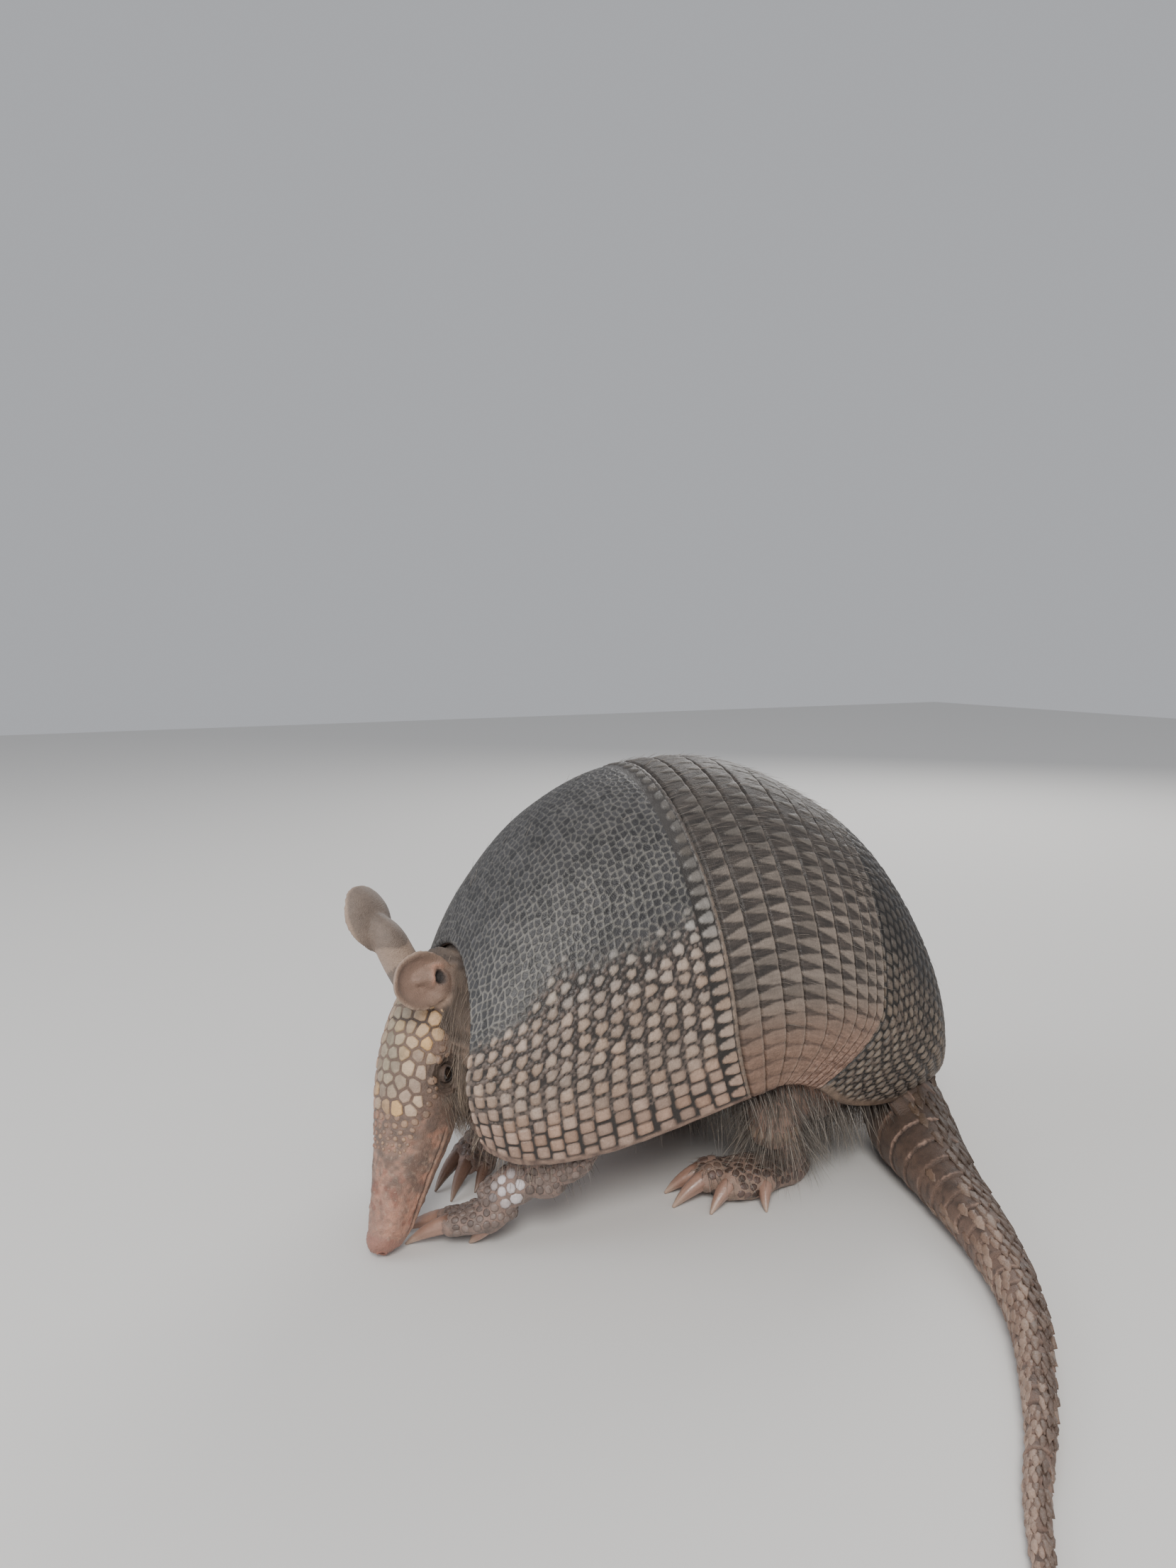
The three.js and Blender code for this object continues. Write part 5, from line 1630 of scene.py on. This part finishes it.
reach *= (0.62 + 0.3 * lot * ease(38, 50, near_now[seats]))[:, None]
face_tint = mix("#8b7060", "#a3846b", lot)
face_tint = mix(face_tint, "#96695a", ease(-5, 25, angle_now[seats]) * 0.6)
face_tint = mix(face_tint, "#7d6656", ease(60, 72, turn_now[seats]))
snout_group = scale_groups(seats, down_snout, reach, 0.28 + 0.05 * lot, 0.05 + 0 * lot, face_tint, 0.66)
coat_piece("snout_scales", [snout_group], crown_horn)


# ---------------------------------------------------------------- scales of the tail, ring by ring
tail_heading = unit(np.gradient(tail_table[:, :3], axis=0))
# a tail scale's radius in eight directions, long toward the tail's tip
leaf = np.array([0.66, 0.36, 0.34, 0.42, 0.50, 0.42, 0.34, 0.36])
stretch = np.abs(np.cos(np.arange(8) * np.pi / 4))
tail_scales = []
for k in range(len(rings) - 1):
    long = rings[k + 1] - rings[k]
    for half, at in ((0, rings[k] + 0.30 * long), (1, rings[k] + 0.80 * long)):
        i = int(np.clip(np.searchsorted(tail_at, at), 0, len(tail_at) - 1))
        centre, radius, heading = tail_table[i, :3], tail_table[i, 3:5].mean(), tail_heading[i]
        across = unit(np.cross([0, 0, 1.0], heading))
        rise = np.cross(heading, across)
        count = max(7, round(2 * np.pi * radius / (4.6 - 2.0 * ease(120, 330, at))))
        number = np.arange(count)
        lot, other = chance(number, k * 2 + half, 321), chance(number, k * 2 + half, 322)
        angle = (number + 0.5 * half + 0.3 * (lot - 0.5)) * 2 * np.pi / count
        upward = np.sin(angle)
        spot = centre + radius * (np.cos(angle)[:, None] * across + upward[:, None] * rise)
        facing = np.sum(unit(spot - centre) * unit(np.array([0.62, -0.33, 0.72])), 1)
        bare = fall(60, 230, at) * fall(0.35, 0.8, facing)
        kept = (upward > -0.75) & (spot[:, 2] > 1.5) & (lot > 0.12 + 0.95 * bare)
        spot, lot, other, upward = spot[kept], lot[kept], other[kept], upward[kept]
        if not len(spot):
            continue
        seat = skin_nearest(spot)
        ok = ~under_plates[seat] & (is_tail[seat] > 0.5)
        seat, lot, other, upward = seat[ok], lot[ok], other[ok], upward[ok]
        wide = 2 * np.pi * radius / count
        facing = facing[kept][ok]
        spine = ease(0.45, 0.95, facing) * ease(20, 90, at)
        body = leaf[None] * (1.12 * wide * (1 - stretch) + 0.80 * long * stretch)[None]
        body = body * (0.85 + 0.25 * other)[:, None]
        body[:, 0] *= 1 + 0.55 * spine
        high = 0.14 + 0.14 * lot + 0.14 * ease(90, 200, at)
        lean = 0.10 + (1.0 + 0.7 * ease(120, 220, at)) * spine * (0.4 + 0.9 * other)
        base = mix("#4b3c32", "#6f5b4b", lot)
        base = mix(base, mix("#725b4e", "#9c8474", other), ease(70, 170, at))
        base = mix(base, "#ae9485", ease(170, 330, at) * 0.45)
        base = mix(base, "#2e2723", ease(0.5, 0.95, facing + 0.4 * (lot - 0.5)) * 0.6)
        ahead = np.broadcast_to(heading, (len(seat), 3))
        tail_scales.append((seat, ahead, body * 0.98, high, lean * min(1, radius / 6), base))
tail_group = scale_groups(*(np.concatenate(each) for each in zip(*tail_scales)), 0.84)
tail_scale_horn = horn("tail scales", 0.2, 0.5, 0.5)
coat_piece("tail_scales", [tail_group], tail_scale_horn)


# ---------------------------------------------------------------- hair
HAIR_FACES = tapered(4, 3)


def hair_group(roots, way, length, thick, droop, seed, tint):
    """Thin tapered hairs that leave their roots along way and bend down under their own weight."""
    n = np.arange(len(roots))
    stray = np.stack([chance(n, seed + k) - 0.5 for k in range(3)], -1)
    way = unit(way + 0.30 * stray)
    curl = np.stack([chance(n, seed + 3 + k) - 0.5 for k in range(3)], -1)
    aside = unit(np.cross(way, [0.31, 0.2, 0.93]))
    over = np.cross(way, aside)
    shapes = []
    for t, width in ((-0.05, 1.0), (0.28, 0.9), (0.6, 0.65), (0.84, 0.35), (1.0, 0.0)):
        bend = (np.array([0, 0, -1.0]) * droop + 0.35 * curl) * t * abs(t)
        spot = roots + (way * t + bend) * length[:, None]
        if width:
            for turn in (0, 2 * np.pi / 3, 4 * np.pi / 3):
                spoke = aside * math.cos(turn) + over * math.sin(turn)
                shapes.append(spot + spoke * (thick * width)[:, None])
        else:
            shapes.append(spot)
    shapes = np.stack(shapes, 1)
    shapes[..., 2] = np.maximum(shapes[..., 2], 0.15)
    shade = np.array([0.55] * 3 + [0.8] * 3 + [1.0] * 3 + [1.1] * 3 + [1.15])
    return shapes, HAIR_FACES, roots, tint[:, None] * shade[None, :, None]


def roots_on(chosen, count, seed):
    """A shuffled choice of skin points, and a place a little beside each."""
    index = np.nonzero(chosen)[0]
    index = index[np.argsort(chance(index, seed))][:count]
    return index, spots[index] + 0.4 * np.stack([chance(index, seed + k) - 0.5 for k in (1, 2, 3)], -1)


hair_material = horn("pale hair", 0.1, 0.1, 0.55, sheen=0.15)
open_skin = ~under_plates
grown = []
thigh = open_skin & ((is_hind > 0.5) | (is_trunk > 0.5)) & (z_now > 23) & (x_now > -25) & (x_now < 78)
flank = open_skin & ((is_trunk > 0.5) | (is_fore > 0.5)) & (z_now > 27) & (x_now <= -25)
shank = open_skin & (is_hind > 0.5) & (z_now > 12) & (z_now <= 25)
for chosen, count, short, tall, seed in ((thigh, 5200, 8, 21, 401), (flank, 450, 3, 7, 402),
                                         (shank, 700, 3, 9, 403)):
    index, roots = roots_on(chosen, count, seed)
    lot, other = chance(index, seed + 11), chance(index, seed + 12)
    way = 0.75 * normals[index] + np.array([0.10, 0, -0.75])
    tone = mix(mix("#3d3631", "#766c62", lot), "#aa9f92", ease(0.78, 1.0, other))
    length = short + (tall - short) * other
    grown.append(hair_group(roots, way, length, 0.09 + 0.06 * lot, 0.28, seed + 20, tone))
coat_piece("belly_hair", grown, hair_material)

grown = []
throat = (is_head > 0.5) & (near_now > 56) & (turn_now > 104)
cheek_hair = (is_head > 0.5) & (near_now > 60) & (turn_now > 84) & (turn_now <= 104)
cheek_hair &= eye_away > 8.5
collar = open_skin & ((is_neck > 0.5) | ((is_trunk > 0.5) & (x_now < -112)))
for chosen, count, short, tall, seed in ((throat, 1100, 4, 10, 431), (cheek_hair, 220, 1.5, 4, 432),
                                         (collar, 1300, 4, 12, 433)):
    index, roots = roots_on(chosen, count, seed)
    lot, other = chance(index, seed + 11), chance(index, seed + 12)
    way = 0.55 * normals[index] + np.array([0.12, 0, -0.8]) - 0.25 * head_axis
    tone = mix(mix("#5d5047", "#8d7d6e", lot), "#b7a48f", ease(0.7, 1.0, other))
    length = short + (tall - short) * other
    grown.append(hair_group(roots, way, length, 0.06 + 0.04 * lot, 0.25, seed + 20, tone))
coat_piece("neck_hair", grown, hair_material)

# bristles that lie back over the shell from the rear rim of each plate and between the scutes of the back
n = np.arange(1500)
lane = (chance(n, 451) * 2 - 1) * 0.86
row = np.floor(chance(n, 452) * 10).astype(int)
place = np.where(row < 9, edges[np.minimum(row, 8)] - 0.004 + 0.012 * chance(n, 453),
                 np.where(chance(n, 454) > 0.5, 0.12 + 0.33 * chance(n, 455), 0.71 + 0.27 * chance(n, 455)))
kept = (np.abs(lane) < 0.55) | (chance(n, 456) < 0.35)
lane, place, lot = lane[kept], place[kept], chance(n, 457)[kept]
outward = shell_outward(place, lane)
back = unit(shell_point(place + 0.01, lane) - shell_point(place, lane))
roots = shell_at(place, lane, np.full(len(lane), -0.6))
tone = mix("#3f3a36", "#a3978a", lot)
length = 4.5 + 4.5 * chance(n, 458)[kept]
bristles = hair_group(roots, back + 0.30 * outward, length, 0.06 + 0.03 * lot, 0.1, 460, tone)
coat_piece("back_bristles", [bristles], hair_material)


# ---------------------------------------------------------------- floor, light and view

def matt(name, colour, rough):
    material = bpy.data.materials.new(name)
    material.use_nodes = True
    shader = material.node_tree.nodes["Principled BSDF"]
    shader.inputs["Base Color"].default_value = (*colour, 1)
    shader.inputs["Roughness"].default_value = rough
    return material


bpy.ops.object.select_all(action="DESELECT")
bpy.ops.mesh.primitive_plane_add(size=6, location=(0, 0, 0))
floor = bpy.context.object
floor.name = "studio_floor"
floor.data.materials.append(matt("pale floor", (0.72, 0.71, 0.69), 0.85))

world = bpy.data.worlds.new("studio")
bpy.context.scene.world = world
world.use_nodes = True
world.node_tree.nodes["Background"].inputs["Color"].default_value = (0.93, 0.95, 1.0, 1)
world.node_tree.nodes["Background"].inputs["Strength"].default_value = 0.5


def soft_light(name, place, aim, size, power, colour):
    lamp = bpy.data.lights.new(name, "AREA")
    lamp.shape, lamp.size, lamp.energy, lamp.color = "DISK", size, power, colour
    lit = bpy.data.objects.new(name, lamp)
    lit.location = place
    lit.rotation_euler = (Vector(aim) - Vector(place)).to_track_quat("-Z", "Y").to_euler()
    bpy.context.scene.collection.objects.link(lit)


soft_light("key light", (-0.75, -1.15, 1.15), (0, 0, 0.08), 0.7, 26, (1.0, 0.97, 0.93))
soft_light("fill light", (-1.5, 0.5, 0.8), (0, 0, 0.08), 1.2, 9, (0.92, 0.95, 1.0))
soft_light("rim light", (1.1, 1.0, 1.0), (0, 0, 0.1), 0.9, 12, (1.0, 0.98, 0.95))

view = bpy.data.cameras.new("view")
view.lens, view.sensor_fit, view.sensor_height, view.sensor_width = 27.03, "VERTICAL", 36, 36
camera = bpy.data.objects.new("view", view)
camera.location = (-0.2980, -0.3681, 0.2590)
camera.rotation_euler = (math.radians(82.73), 0, math.radians(-28))
bpy.context.scene.collection.objects.link(camera)
bpy.context.scene.camera = camera
